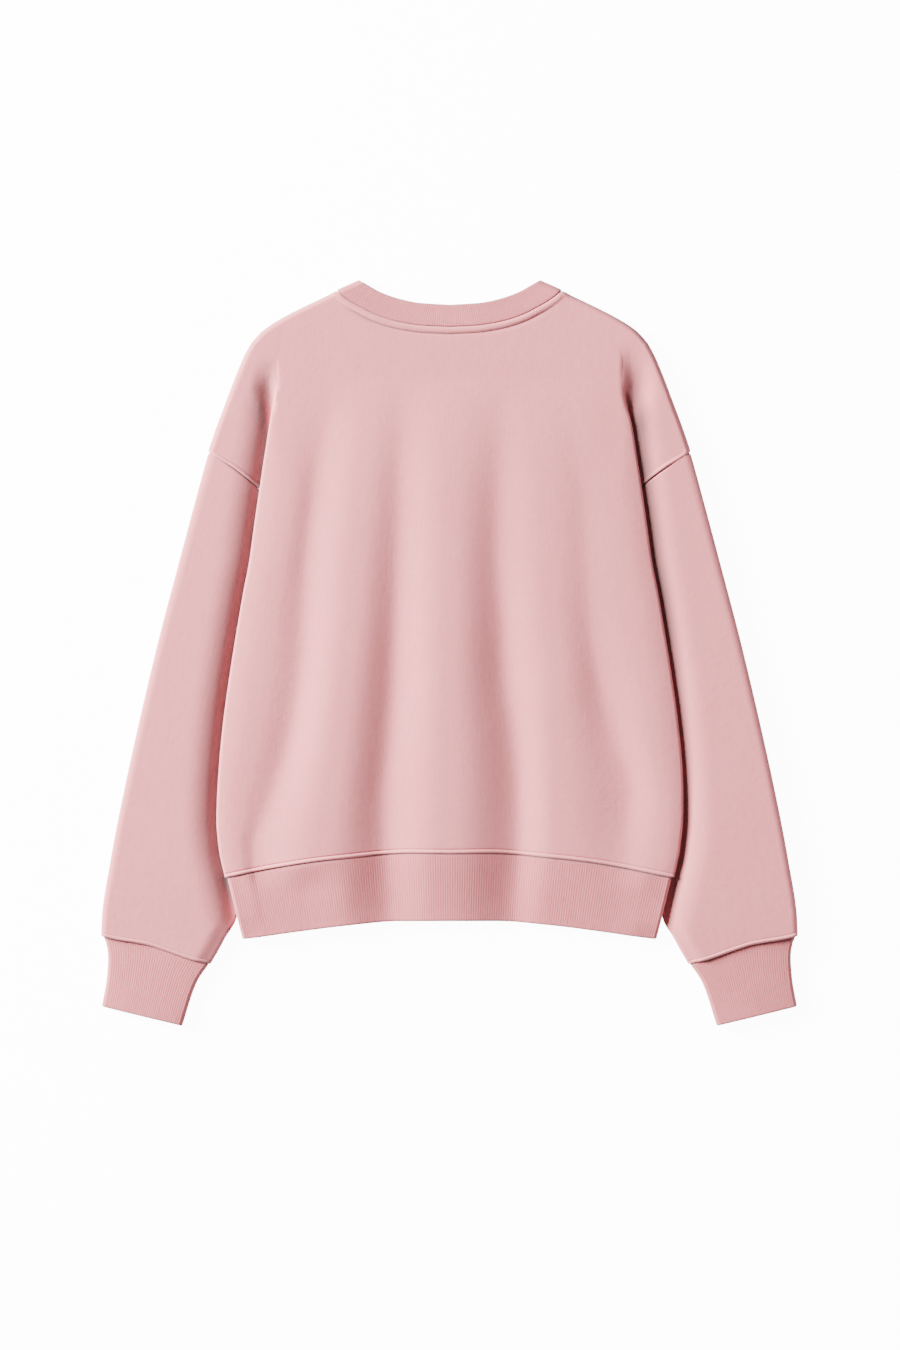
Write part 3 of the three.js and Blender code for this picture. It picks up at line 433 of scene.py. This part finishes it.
def back_place(column, row):
    x, down, z = back_middle(column, row)
    side, count = np.where(column < 0, -1.0, 1.0), np.abs(column)
    near_neck = np.abs(x) < NECK_HALF + 6
    from_neck = np.where(near_neck, (down - back_neckline(np.abs(x)) - 0.4) * slant(back_neckline, np.abs(x)), 99)
    from_hem = hem_seam(x) - SEAM - down
    at_armhole = (row >= SHOULDER_SEAM_END) & (row < UNDERARM_DROP) & (count > FLAT + TURN_END)
    from_armhole = np.where(at_armhole, (armhole(down) - SEAM - np.abs(x)) * slant(armhole, down), 99)
    lower = count > FLAT + ROLL_END
    shows = 1 - ease(np.abs(x), 84, 112)
    z = z + 0.9 * ease(from_neck, 0, 1.2) * (1 - ease(from_neck, 3.2, 6.6)) - 0.8 * shows * bump(from_neck, 6.6, 2.2)
    z = z + np.where(lower, 0, 1.1 * bump(from_hem, 1.6, 1.5) - 0.7 * bump(from_hem, 3.9, 1.5))
    z = z + 0.9 * bump(from_armhole, 1.7, 1.5)
    z = z - np.where(lower, 0, 0.6 * bump(from_neck, 0, 1.2) + 0.6 * bump(from_hem, 0, 1.1))
    # line is painted shade along the seams, in the grooves where the cloth turns in
    line = np.maximum.reduce([0.4 * bump(from_neck, 0, 1.1), shows * bump(from_neck, 6.6, 2.1),
                              bump(from_hem, 0, 1.1), 0.6 * bump(from_hem, 3.9, 1.4), bump(from_armhole, 0, 1.1)])
    # ridge masks a painted highlight along the raised seam ridges
    ridge = np.maximum.reduce([0.5 * bump(from_neck, 1.8, 1.8), bump(from_hem, 1.6, 1.3), bump(from_armhole, 1.7, 1.3)])
    # painted shade in the trough beside the body's rolled edge
    hollow = np.where(count > FLAT + (ROLL_END - 1) * ease(down, 109, 132), shade_beside_body(x, down, side), 0)
    return place_at(x, down, z), {"line": line, "ridge": ridge, "hollow": hollow}


half_columns = spaced(0, (12, 64), (16, 9), (18, 7), (20, 6), (23.5, 15), (24, 8))
back_columns = [-c for c in half_columns[:0:-1]] + half_columns
back_rows = spaced(64, (73, 14), (100, 10), (591, 152), (SIDE_END, 13))
back_piece = cloth("back_cloth", back_columns, back_rows, back_place)
give_thickness(back_piece, FLEECE)

# %% [markdown]
# The front lies face down on the surface. Nothing shows of it from above, but it is a whole panel, flat
# where it rests and lifted onto the sleeves at its sides.
# %% The front
def front_height(x, down):
    fold = sleeve_fold(down)
    over = ease(np.abs(x), fold - 16, fold - 3) * ease(down, UNDERARM_DROP - 18, UNDERARM_DROP + 10)
    return lerp(FLOOR_LAYER, BODY_UNDER, over)


def front_place(column, row):
    side, count = np.where(column < 0, -1.0, 1.0), np.abs(column)
    part = (row - SHOULDER_DROP) / (SIDE_END - SHOULDER_DROP)
    angle = np.pi / 2 * np.minimum(count / 8, 1)
    top_x = np.where(count > 8, lerp(NECK_HALF, SHOULDER_HALF, (count - 8) / 4), NECK_HALF * np.sin(angle))
    neck = NECK_DROP + 0.45 + (FRONT_NECK_DROP - NECK_DROP) * np.cos(angle)
    top_down = np.where(count > 8, shoulder(top_x), neck)

    def across(down):
        half = np.where(down < SHOULDER_SEAM_END, outline(down),
                        np.where(down <= UNDERARM_DROP, armhole(down) - SEAM, side_seam(down) - 0.45))
        fold = np.where(down > UNDERARM_DROP, sleeve_fold(down), half + 2)
        knee = np.minimum(fold - 3, half - 0.6)
        inner = np.where(count <= 6, (fold - 18) * count / 6,
                         fold - np.interp(count, [6, 7, 8, 9], [18, 12, 7, 3]))
        return np.where(count <= 9, inner, lerp(knee, half, (count - 9) / 3))

    down = row_down(row, top_down, across(np.full_like(count, SIDE_END)))
    x = side * lerp(top_x * spread(down), across(down), ease(part, 0, 0.2))
    lift = 0.22 * np.maximum(fold_height(x, down) - 10, 0) * (1 - ease(np.abs(x), 120, 150))
    return place_at(x, down, front_height(x, down) + lift), {"line": 0.0, "ridge": 0.0, "hollow": 0.0}


half_front = spaced(0, (6, 36), (9, 12), (12, 6))
front_columns = [-c for c in half_front[:0:-1]] + half_front
front_piece = cloth("front_cloth", front_columns, spaced(64, (SIDE_END, 110)), front_place)
give_thickness(front_piece, FLEECE)

# %% [markdown]
# A sleeve is one piece sewn into a tube and pressed flat: an upper layer, a fold at its inner side, a lower
# layer and a fold at its outer side. turn counts those four round the tube, and along runs from the armhole
# to the cuff. In plan the sleeve is stretched between its four edges.
# %% Plan of a sleeve
SHARES = np.array([0, 0.15, 0.27, 0.35, 0.44, 0.55, 0.69, 0.86, 1])
ARMHOLE_ROWS = np.array([173, 191, 210, 220, 235, 255, 280, 302, 320.0])


def arm_plan(across, along):
    hole_down = np.interp(across, SHARES, ARMHOLE_ROWS)
    hole = (armhole(hole_down) + SEAM / 2, hole_down + SEAM)
    end_half = lerp(348.5, 239.0, across)
    end = (end_half, cuff_seam(end_half))
    outer_down, inner_down = lerp(SHOULDER_SEAM_END, CUFF_DROP, along), lerp(UNDERARM_DROP, CUFF_INNER_DROP, along)
    outer, inner = (outline(outer_down), outer_down), (sleeve_fold(inner_down), inner_down)
    corners = ((241, 163.5, 348.5, 239), (173, 320, 656, 684.5))
    found = []
    for i in (0, 1):
        a, b, c, d = corners[i]
        corner = (1 - across) * (1 - along) * a + across * (1 - along) * b + (1 - across) * along * c + across * along * d
        found.append(lerp(hole[i], end[i], along) + lerp(outer[i], inner[i], across) - corner)
    return np.stack(found, -1)


def unit(vector):
    return vector / np.linalg.norm(vector, axis=-1, keepdims=True)


def sleeve_middle(turn, along):
    def fold_out(across):
        change = arm_plan(across, np.minimum(along + 0.01, 1)) - arm_plan(across, np.maximum(along - 0.01, 0))
        way = unit(np.stack([change[..., 1], -change[..., 0]], -1))
        return -way if across > 0.5 else way

    outer, inner = fold_out(0.0), fold_out(1.0)
    row_way = unit(arm_plan(SHARES[1], along) - arm_plan(0.0, along))
    inward = lerp(inner, unit(arm_plan(1.0, along) - arm_plan(0.9, along)), ease(along, 0.93, 1)[..., None])
    inward = inward / np.sum(inward * inner, -1)[..., None]
    fold_place = arm_plan(1.0, along)
    inner_roll = (arm_height(fold_place[..., 0], fold_place[..., 1]) - FLOOR_LAYER) / 2
    on = np.clip(turn - np.floor(turn), 0, 1)
    first, second, third = turn < 1, (turn >= 1) & (turn < 2), (turn >= 2) & (turn < 3)
    across = np.select([first, second, third], [on, np.ones_like(on), 1 - on], 0.0)
    from_outer = (OUTER_ROLL + FLEECE / 2) * (1 - ease(across, 0, 0.15))
    from_inner = (inner_roll + FLEECE / 2) * ease(across, 0.86, 1)
    at = arm_plan(across, along)
    at = at + row_way * (from_outer / -np.sum(row_way * outer, -1))[..., None] - inward * from_inner[..., None]
    height = arm_height(at[..., 0], at[..., 1])
    roll = np.where(second, inner_roll, OUTER_ROLL)
    out = np.where(second[..., None], inward, outer)
    angle = np.pi * np.where(second, on, 1 - on)
    rolled = ~(first | third)
    at = at + np.where(rolled, roll * np.sin(angle), 0)[..., None] * out
    z = np.select([first, third], [height, np.full_like(height, FLOOR_LAYER)],
                  FLOOR_LAYER + (height - FLOOR_LAYER) / 2 * (1 + np.cos(angle)))
    return at[..., 0], at[..., 1], z


# %% Place the sleeves
def round_tube(upper, fold_steps, lower):
    fold = list(np.linspace(0, 1, fold_steps + 1))
    places = [t for t in upper[:-1]] + [1 + t for t in fold[:-1]] + [2 + t for t in lower[:-1]]
    return places + [3 + t for t in fold]


def sleeve_place(side):
    def place(turn, along):
        turn = np.where(turn >= 4, 3.9999999, turn)
        inside = np.maximum(-along, 0)
        x, down, z = sleeve_middle(turn, np.maximum(along, 0))
        upper = turn < 1
        across = np.clip(np.where(upper, turn, 3 - turn), 0, 1)
        hole = arm_plan(across, np.zeros_like(along))
        room = np.where(upper, np.clip((arm_height(hole[..., 0], hole[..., 1]) - 4.2) / 2.1, 0, 1), 0)
        way = unit(arm_plan(across, np.full_like(along, 0.02)) - hole)
        x, down = x - way[..., 0] * inside * 500 * room, down - way[..., 1] * inside * 500 * room
        from_hole = np.hypot(x - hole[..., 0], down - hole[..., 1])
        from_hole = np.where(inside > 0, 0, from_hole)
        from_cuff = cuff_seam(x) - down
        z = z - room * 2.1 * (1 - ease(np.where(inside > 0, 0, from_hole), 0.3, 1.9))
        z = z + np.where(upper, 1.1 * bump(from_cuff, 1.6, 1.5) - 0.6 * bump(from_cuff, 0, 1.1), 0)
        # line is painted shade along the armhole and cuff seams
        line = np.maximum.reduce([0.85 * bump(from_hole, 0, 1.7), bump(from_cuff, 0, 1.1),
                                  0.4 * bump(from_cuff, 3.8, 1.2)])
        # painted shade in the trough beside the body's rolled edge
        hollow = np.where(upper, shade_beside_body(x, down, np.full_like(x, side)), 0)
        # ridge masks a painted highlight on the raised cuff seam ridge
        return place_at(side * x, down, z), {"line": line, "ridge": bump(from_cuff, 1.6, 1.3), "hollow": hollow}

    return place


upper_layer = spaced(0, (0.15, 9), (0.86, 40), (1, 9))
sleeve_turns = round_tube(upper_layer, 8, spaced(0, (1, 34)))
sleeve_rows = [-0.01, -0.003] + spaced(0, (0.012, 9), (0.05, 7), (0.986, 128), (1, 14))
sleeves = []
for name, side in (("sleeve_left_cloth", -1), ("sleeve_right_cloth", 1)):
    piece = cloth(name, sleeve_turns, sleeve_rows, sleeve_place(side))
    close_up(piece)
    give_thickness(piece, FLEECE)
    sleeves.append(piece)

# %% [markdown]
# Collar, cuffs and hem band are rings of rib knit folded double, with the fold at the free edge. Such a
# band is one closed skin: rows run down its outside, round the fold, up its inside, and at the seam out
# under the body's cloth as the seam allowance, which closes the seam. Its ribs stand out on the upper
# side. Underneath, where the band rests, they are pressed level, so the hollows are cut in instead.
# %% A doubled band of rib knit
RIB_HEIGHT = 0.16
ALLOWANCE = 6


def band_profile(depth):
    """Rows round the band's thickness: distance from the seam, and height out of the middle of the cloth."""
    half = RIB / 2
    rows = [(0.05, -1.2), (0.0, -0.2), (0.1, 0.5), (0.45, 0.95), (1.0, 1.2)]
    rows += [(s, half) for s in spaced(1.8, (5, 2), (depth - 7, 9), (depth - 2.6, 3))]
    rows += [(depth - half + half * math.sin(t), half * math.cos(t)) for t in np.radians(np.arange(0, 181, 30))]
    rows += [(s, -half) for s in spaced(depth - 2.6, (1.0, 5))]
    return rows + [(-0.4, -2.0), (-ALLOWANCE, -1.9), (-ALLOWANCE, -1.25)]


def band(name, middle, turns, depth, ribs):
    """middle(turn, along) gives x, down and height; ribs(turn) gives the count of ribs up to there."""
    profile = np.array(band_profile(depth))
    profile = np.vstack([profile, profile[:1]])

    def at(turn, along):
        return np.stack(middle(np.mod(turn, 4), along), -1) * [1, -1, 1]

    middle_way = np.cross(at(np.array(0.502), np.array(0.5)) - at(np.array(0.498), np.array(0.5)),
                          at(np.array(0.5), np.array(0.52)) - at(np.array(0.5), np.array(0.48)))
    upwards = np.sign(middle_way[2])

    def place(turn, row):
        distance, height = profile[row.astype(int)].T
        along = distance / depth
        along_way = at(turn, along + 0.01) - at(turn, along - 0.01)
        out = upwards * unit(np.cross(at(turn + 0.004, along) - at(turn - 0.004, along), along_way))
        leg = np.floor(turn)
        under = np.select([leg == 0, leg == 1, leg == 2], [0 * turn, turn - 1, 1 + 0 * turn], 4 - turn)
        wave = 0.5 + 0.5 * np.cos(2 * np.pi * ribs(turn))
        level = 1 - ease(distance, depth - 2.6, depth - 0.6)
        raised = RIB_HEIGHT * (wave * level - under) * np.clip(height / (RIB / 2), 0, 1)
        at_fold = np.where((leg == 1) | (leg == 3), np.sin(np.pi * (turn - leg)), 0)
        height = np.where(distance < 0, height + 1.6 * at_fold, height)
        height = np.where((distance >= 0) & (distance < 1.7) & (height > -0.5), lerp(height, 1.25, at_fold), height)
        points = at(turn, along) + out * (height + raised)[:, None]
        outside = height > 0
        # rim is painted shade on the band's rolled free edge, line is painted shade along its seam
        marks = {"rim": np.where(outside | (distance > depth - 2), bump(distance, depth, 2.2), 0),
                 "line": bump(distance, 0, 1.5), "rib": wave, "ridge": 0.0, "hollow": 0.0}
        return points + [0, LENGTH / 2, 0], marks

    piece = cloth(name, turns, list(range(len(profile))), place)
    close_up(piece)
    bpy.ops.object.shade_smooth_by_angle(angle=math.radians(60))
    return piece


def flat_tube(turn, along, plan, upper, lower, width, thickness):
    """A tube pressed flat: over its upper layer, round a fold, back along the lower one, round the other."""
    roll = lambda across: (upper(*plan(across, along)) - lower(*plan(across, along))) / 2
    start_roll, end_roll = roll(np.zeros_like(turn)), roll(np.ones_like(turn))
    first, last = (start_roll + thickness / 2) / width, 1 - (end_roll + thickness / 2) / width
    on = turn - np.floor(turn)
    swing = np.pi * on
    leg = np.floor(turn)
    across = np.select([leg == 0, leg == 1, leg == 2],
                       [lerp(first, last, on), last, lerp(last, first, on)], first)
    pushed = np.select([leg == 1, leg == 3], [end_roll, -start_roll], 0) * np.sin(swing) / width
    high, low = upper(*plan(across, along)), lower(*plan(across, along))
    x, down = plan(across + pushed, along)[:2]
    turned = np.select([leg == 1, leg == 3], [np.cos(swing), -np.cos(swing)], 1.0)
    z = np.select([leg == 0, leg == 2], [high, low], (high + low) / 2 + (high - low) / 2 * turned)
    return x, down, z


# %% [markdown]
# A cuff is drawn in: it is narrower than the sleeve just below their seam and widens again to its free end.
# %% Cuffs
cuff_outer = curve((0, 346), (0.12, 342.8), (0.3, 341.6), (0.6, 343), (1, 348))
cuff_outer_down = curve((0, 657), (0.12, 668), (0.3, 680), (0.6, 700), (1, 727))
cuff_inner = curve((0, 240.8), (0.12, 245.8), (0.3, 252.5), (0.6, 260), (1, 267.5))
cuff_inner_down = curve((0, 685), (0.12, 691.5), (0.3, 704), (0.6, 724), (1, 746.6))
CUFF_RIBS = 36


def cuff_middle(side):
    def middle(turn, along):
        def plan(across, along):
            half = lerp(cuff_outer(along), cuff_inner(along), across)
            seam = cuff_seam(half) + 0.45 + along * 66
            straight = lerp(cuff_outer_down(along), cuff_inner_down(along), across)
            return half, lerp(seam, straight, ease(along, 0, 1)), across

        width = np.hypot(cuff_outer(along) - cuff_inner(along), cuff_outer_down(along) - cuff_inner_down(along))

        def upper(half, down, across):
            inside = np.sin(np.pi * np.clip(across, 0, 1)) ** 0.6
            return lerp(RIB / 2 + 5.6, lerp(9, 8.8, along), inside)

        x, down, z = flat_tube(turn, along, plan, upper, lambda *_: RIB / 2, width, RIB)
        return side * x, down, z

    return middle


def rib_columns(count, per_rib, fold_ribs, under_count):
    layer = list(np.linspace(0, 1, count * per_rib + 1))
    return round_tube(layer, fold_ribs * per_rib, list(np.linspace(0, 1, under_count * per_rib + 1)))


def rib_count(count, fold_ribs):
    return lambda turn: np.interp(turn, [0, 1, 2, 3, 4],
                                  np.cumsum([0, count, fold_ribs, count, fold_ribs]))


cuffs = [band(name, cuff_middle(side), rib_columns(CUFF_RIBS, 6, 4, CUFF_RIBS), 70, rib_count(CUFF_RIBS, 4))
         for name, side in (("cuff_left_rib", -1), ("cuff_right_rib", 1))]

# %% [markdown]
# The hem band is one long ring. The folds of the back run on through it and die out towards its free edge.
# %% Hem band
HEM_RIBS = 178


def hem_middle(turn, along):
    half = lerp(222, 207, along)
    lift = lerp(BODY_UNDER - FLOOR_LAYER, 2.5, ease(along, 0.62, 1))

    def plan(across, along):
        x = lerp(-half, half, across)
        return x, lerp(hem_seam(x * (224 / half)) + SEAM, hem_edge(x), along)

    def lower(x, down):
        fold = sleeve_fold(np.minimum(down, 640))
        return RIB / 2 + lift * ease(np.abs(x), fold - 18, fold - 6)

    def upper(x, down):
        seam_height = fold_height(x * (224 / half), np.full_like(x, SIDE_END))
        seam_height = lerp(seam_height, 12, 0.75 * ease(np.abs(x), 95, 150) * ease(along, 0, 0.4))
        edge = 4.6 + 0.74 * (seam_height - 5)
        rolled = RIB / 2 + lift + 4.1
        return lerp(lerp(seam_height, edge, ease(along, 0, 1)), rolled, ease(np.abs(x), half - 30, half - 3))

    return flat_tube(turn, along, plan, upper, lower, 2 * half, RIB)


hem_piece = band("hem_band_rib", hem_middle, rib_columns(HEM_RIBS, 6, 4, HEM_RIBS), 66, rib_count(HEM_RIBS, 4))

# %% [markdown]
# The collar is one ring too. Its back half lies on top and its front half beneath, so the two folds are the
# collar's tips. It leans inwards from the neckline, and its ribs fan out with it.
# %% Collar
COLLAR_RIBS = 98
TIP_INSET, TIP_DROP, TIP_BULGE = 1.2, 1.5, 0.5


def collar_height(x, down, along):
    free = RIB * 1.5 + 0.5 + 4.5 * np.sqrt(np.clip(from_outline(x, down) / CROWN_REACH, 0, 1))
    return lerp(np.maximum(back_height(x, down), RIB * 1.5 + 0.5), free, ease(along, 0, 0.8))


def collar_middle(turn, along):
    on, leg = turn - np.floor(turn), np.floor(turn)
    tip = np.select([leg == 0, leg == 1, leg == 2], [0 * on, on, 1 + 0 * on], 1 - on)
    across = np.select([leg == 0, leg == 1, leg == 2], [lerp(-1, 1, on), 1 + 0 * on, lerp(1, -1, on)], -1)
    x = across * (lerp(NECK_HALF, COLLAR_HALF, along) - TIP_INSET)
    tip_drop = TIP_DROP * along * across ** 8
    angle = np.arccos(np.clip(np.abs(across), 0, 1))
    back_seam = back_neckline(np.abs(across) * (NECK_HALF - TIP_INSET))
    back_down = lerp(back_seam, back_collar(np.abs(across) * COLLAR_HALF), along) + tip_drop
    seam = NECK_DROP + (FRONT_NECK_DROP - NECK_DROP) * np.sin(angle)
    front_down = lerp(seam, FRONT_COLLAR_DROP * np.sin(angle), along) + tip_drop
    down = np.where(leg == 0, back_down, front_down)
    high = collar_height(x, down, along)
    swing = np.pi * tip
    bulge = TIP_BULGE * np.sin(swing)
    z = np.select([leg == 0, leg == 2], [high, np.full_like(high, RIB / 2)],
                  (high + RIB / 2) / 2 + (high - RIB / 2) / 2 * np.cos(swing))
    return x + np.sign(x) * bulge, down - bulge, z


collar_piece = band("collar_rib", collar_middle, rib_columns(COLLAR_RIBS, 6, 2, COLLAR_RIBS), 24,
                    rib_count(COLLAR_RIBS, 2))

# %% [markdown]
# Materials are sums of a few patterns. To write them as sums, Wire wraps a socket: wire * 0.5 + 0.2 adds the
# Math nodes, and node() adds any other node with its settings and the values or links of its sockets.
# %% Shader sums
class Wire:
    def __init__(self, socket):
        self.socket, self.tree = socket, socket.id_data

    def node(self, kind, settings=None, values=None, out=0):
        made = self.tree.nodes.new(kind)
        for key, value in (settings or {}).items():
            setattr(made, key, value)
        for key, value in (values or {}).items():
            if isinstance(value, Wire):
                self.tree.links.new(value.socket, made.inputs[key])
            elif value is not None:
                made.inputs[key].default_value = value
        return Wire(made.outputs[out])

    def sum(self, operation, a, b=None, c=None):
        return self.node("ShaderNodeMath", {"operation": operation}, {0: a, 1: b, 2: c})

    def __add__(self, other): return self.sum("ADD", self, other)
    def __radd__(self, other): return self.sum("ADD", other, self)
    def __sub__(self, other): return self.sum("SUBTRACT", self, other)
    def __rsub__(self, other): return self.sum("SUBTRACT", other, self)
    def __mul__(self, other): return self.sum("MULTIPLY", self, other)
    def __rmul__(self, other): return self.sum("MULTIPLY", other, self)
    def __truediv__(self, other): return self.sum("DIVIDE", self, other)
    def __pow__(self, other): return self.sum("POWER", self, other)

    def limited(self, low, high):
        """0 below low, 1 above high, soft between them."""
        return self.node("ShaderNodeMapRange", {"interpolation_type": "SMOOTHSTEP"}, {0: self, 1: low, 2: high})

    def mixed(self, a, b, how="MIX"):
        """A colour from a to b, by this mask."""
        return self.node("ShaderNodeMix", {"data_type": "RGBA", "blend_type": how}, {0: self, 6: a, 7: b}, 2)

    def noise(self, place, scale, detail=2.0, roughness=0.5, stretch=None):
        if stretch:
            place = self.node("ShaderNodeMapping", {"vector_type": "POINT"}, {"Vector": place, "Scale": stretch})
        return self.node("ShaderNodeTexNoise", {}, {"Vector": place, "Scale": scale, "Detail": detail,
                                                    "Roughness": roughness})


# %% [markdown]
# The fleece is a soft, washed cotton in a dusty pink. Its colour wanders a little over the garment, and the
# brushed face is finely speckled. Light and shade are painted into the colour as well: painted shade along the
# seam lines, where the cloth turns in, and in the trough beside the body, where little light comes in, and a
# painted highlight on the raised seam ridges. On the rib, painted shade darkens the grooves between the ribs
# and each band's rolled free edge.
# %% Fleece and rib
def pink(r, g, b):
    return (r, g, b, 1)


def knit(name, light, deep, rib):
    material = bpy.data.materials.new(name)
    material.use_nodes = True
    shader = material.node_tree.nodes["Principled BSDF"]
    start = Wire(shader.outputs[0])
    body = start.node("ShaderNodeTexCoord", out=3)
    surface = start.node("ShaderNodeUVMap", {"uv_map": "UVMap"})
    read = lambda mark: start.node("ShaderNodeAttribute", {"attribute_name": mark}, out=2)
    clouds = start.noise(body, 14.0, 3.0)
    washed = start.noise(body, 90.0, 3.0, 0.6)
    wales = start.noise(surface, 330.0, 2.0, 0.6, (1, 0.12, 1))
    courses = start.noise(surface, 330.0, 2.0, 0.6, (0.12, 1, 1))
    speckle = start.noise(surface, 420.0, 3.0, 0.7)
    mask = clouds * 0.22 + washed * 0.2 + wales * 0.22 + courses * 0.16 + speckle * 0.3 - 0.05
    colour = mask.limited(0.36, 0.64).mixed(deep, light)
    # a painted highlight on the raised seam ridges
    lifted = tuple(min(c * f, 1) for c, f in zip(light[:3], (1.06, 1.22, 1.2))) + (1,)
    colour = (read("ridge") * 0.5).mixed(colour, lifted)
    # painted shade along the seam lines
    shade_dark = (0.17, 0.09, 0.085, 1)
    colour = (read("line") * 0.95).mixed(colour, shade_dark)
    # painted shade in the trough beside the body, greyer on the lit side and warmer on the side away from the light
    across = start.node("ShaderNodeSeparateXYZ", {}, {"Vector": body}).limited(-0.05, 0.05)
    shade = across.mixed((0.075, 0.115, 0.11, 1), (0.14, 0.06, 0.058, 1))  # the side away from the light is warmer
    colour = (read("hollow") * 0.95).mixed(colour, shade)
    if rib:
        # painted shade in the grooves between the ribs, stronger in patches
        patchy = start.noise(body, 16.0, 1.0).limited(0.38, 0.62) * 0.16 + 0.05
        colour = ((1 - read("rib")) * patchy).mixed(colour, shade_dark)
        # painted shade on each band's rolled free edge
        colour = (read("rim") * 0.55).mixed(colour, tuple(c * f for c, f in zip(deep[:3], (0.6, 0.75, 0.72))) + (1,))
    start.tree.links.new(colour.socket, shader.inputs["Base Color"])
    height = speckle * 0.5 + wales * 0.25 + courses * 0.25 + start.noise(body, 150.0, 2.0) * 0.6
    relief = start.node("ShaderNodeBump", {}, {"Strength": 0.6, "Distance": 0.0005, "Height": height})
    start.tree.links.new(relief.socket, shader.inputs["Normal"])
    shader.inputs["Roughness"].default_value = 0.95
    shader.inputs["Specular IOR Level"].default_value = 0.2
    shader.inputs["Sheen Weight"].default_value = 0.25
    shader.inputs["Sheen Roughness"].default_value = 0.6
    print(name, "has", len(material.node_tree.nodes), "nodes")
    return material


fleece = knit("fleece", pink(0.92, 0.27, 0.293), pink(0.87, 0.24, 0.262), False)
rib_knit = knit("rib", pink(0.8, 0.213, 0.233), pink(0.75, 0.185, 0.204), True)
bands = [*cuffs, hem_piece, collar_piece]
for piece in (back_piece, front_piece, *sleeves):
    piece.data.materials.append(fleece)
for piece in bands:
    piece.data.materials.append(rib_knit)

# %% [markdown]
# A plain pale floor and one large soft light from the upper left, as in the photograph, with a pale sky
# that keeps the shadows soft.
# %% Floor and light
bpy.ops.object.select_all(action="DESELECT")
bpy.ops.mesh.primitive_plane_add(size=8, location=(0, 0, -0.0005))
floor = bpy.context.object
floor.name = "floor"
floor.visible_diffuse = floor.visible_glossy = False  # it shows white, but throws no glow on the cloth
paper = bpy.data.materials.new("paper")
paper.use_nodes = True
paper.node_tree.nodes["Principled BSDF"].inputs["Base Color"].default_value = (1, 1, 1, 1)
paper.node_tree.nodes["Principled BSDF"].inputs["Roughness"].default_value = 0.9
paper.node_tree.nodes["Principled BSDF"].inputs["Emission Color"].default_value = (1, 1, 1, 1)
paper.node_tree.nodes["Principled BSDF"].inputs["Emission Strength"].default_value = 12
floor.data.materials.append(paper)


def soft_light(name, at, size, watts):
    bpy.ops.object.select_all(action="DESELECT")
    bpy.ops.object.light_add(type="AREA", location=at)
    light = bpy.context.object
    light.name = name
    light.data.shape, light.data.size, light.data.energy = "SQUARE", size, watts
    aim = -np.array(at)
    light.rotation_euler = (math.atan2(math.hypot(aim[0], aim[1]), -aim[2]), 0, math.atan2(aim[0], -aim[1]) + math.pi)
    return light


soft_light("window", (-4.85, 2.1, 2.0), 2.2, 2060)
soft_light("fill", (4.5, -1.9, 0.3), 1, 230)
world = bpy.data.worlds.new("studio")
world.use_nodes = True
world.node_tree.nodes["Background"].inputs["Color"].default_value = (1, 1, 1, 1)
world.node_tree.nodes["Background"].inputs["Strength"].default_value = 0.16
bpy.context.scene.world = world

# %% [markdown]
# Each piece now rides on the garment's one body and replaces its solid.
# A tube's cut is its whole cloth, all the way round.
# %% What each piece stands for
CUTS = [
    # piece, node, slot, cut width, cut length, cut area, what it rests on
    (back_piece, "back", "fleece", 0.56, 0.60, 0.262, [front_piece, *sleeves]),
    (front_piece, "front", "fleece", 0.50, 0.60, 0.215, []),
    (sleeves[0], "sleeve_left", "fleece", 0.31, 0.50, 0.115, []),
    (sleeves[1], "sleeve_right", "fleece", 0.31, 0.50, 0.115, []),
    (cuffs[0], "cuff_left", "rib", 0.20, 0.071, 0.0135, []),
    (cuffs[1], "cuff_right", "rib", 0.20, 0.071, 0.0135, []),
    (hem_piece, "hem_band", "rib", 0.89, 0.072, 0.061, [*sleeves]),
    (collar_piece, "collar", "rib", 0.56, 0.026, 0.0137, []),
]
for piece, node, slot, wide, long, area, under in CUTS:
    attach(piece, "root")
    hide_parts(node)
    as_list(under)
    print(node, len(piece.data.polygons), "faces")
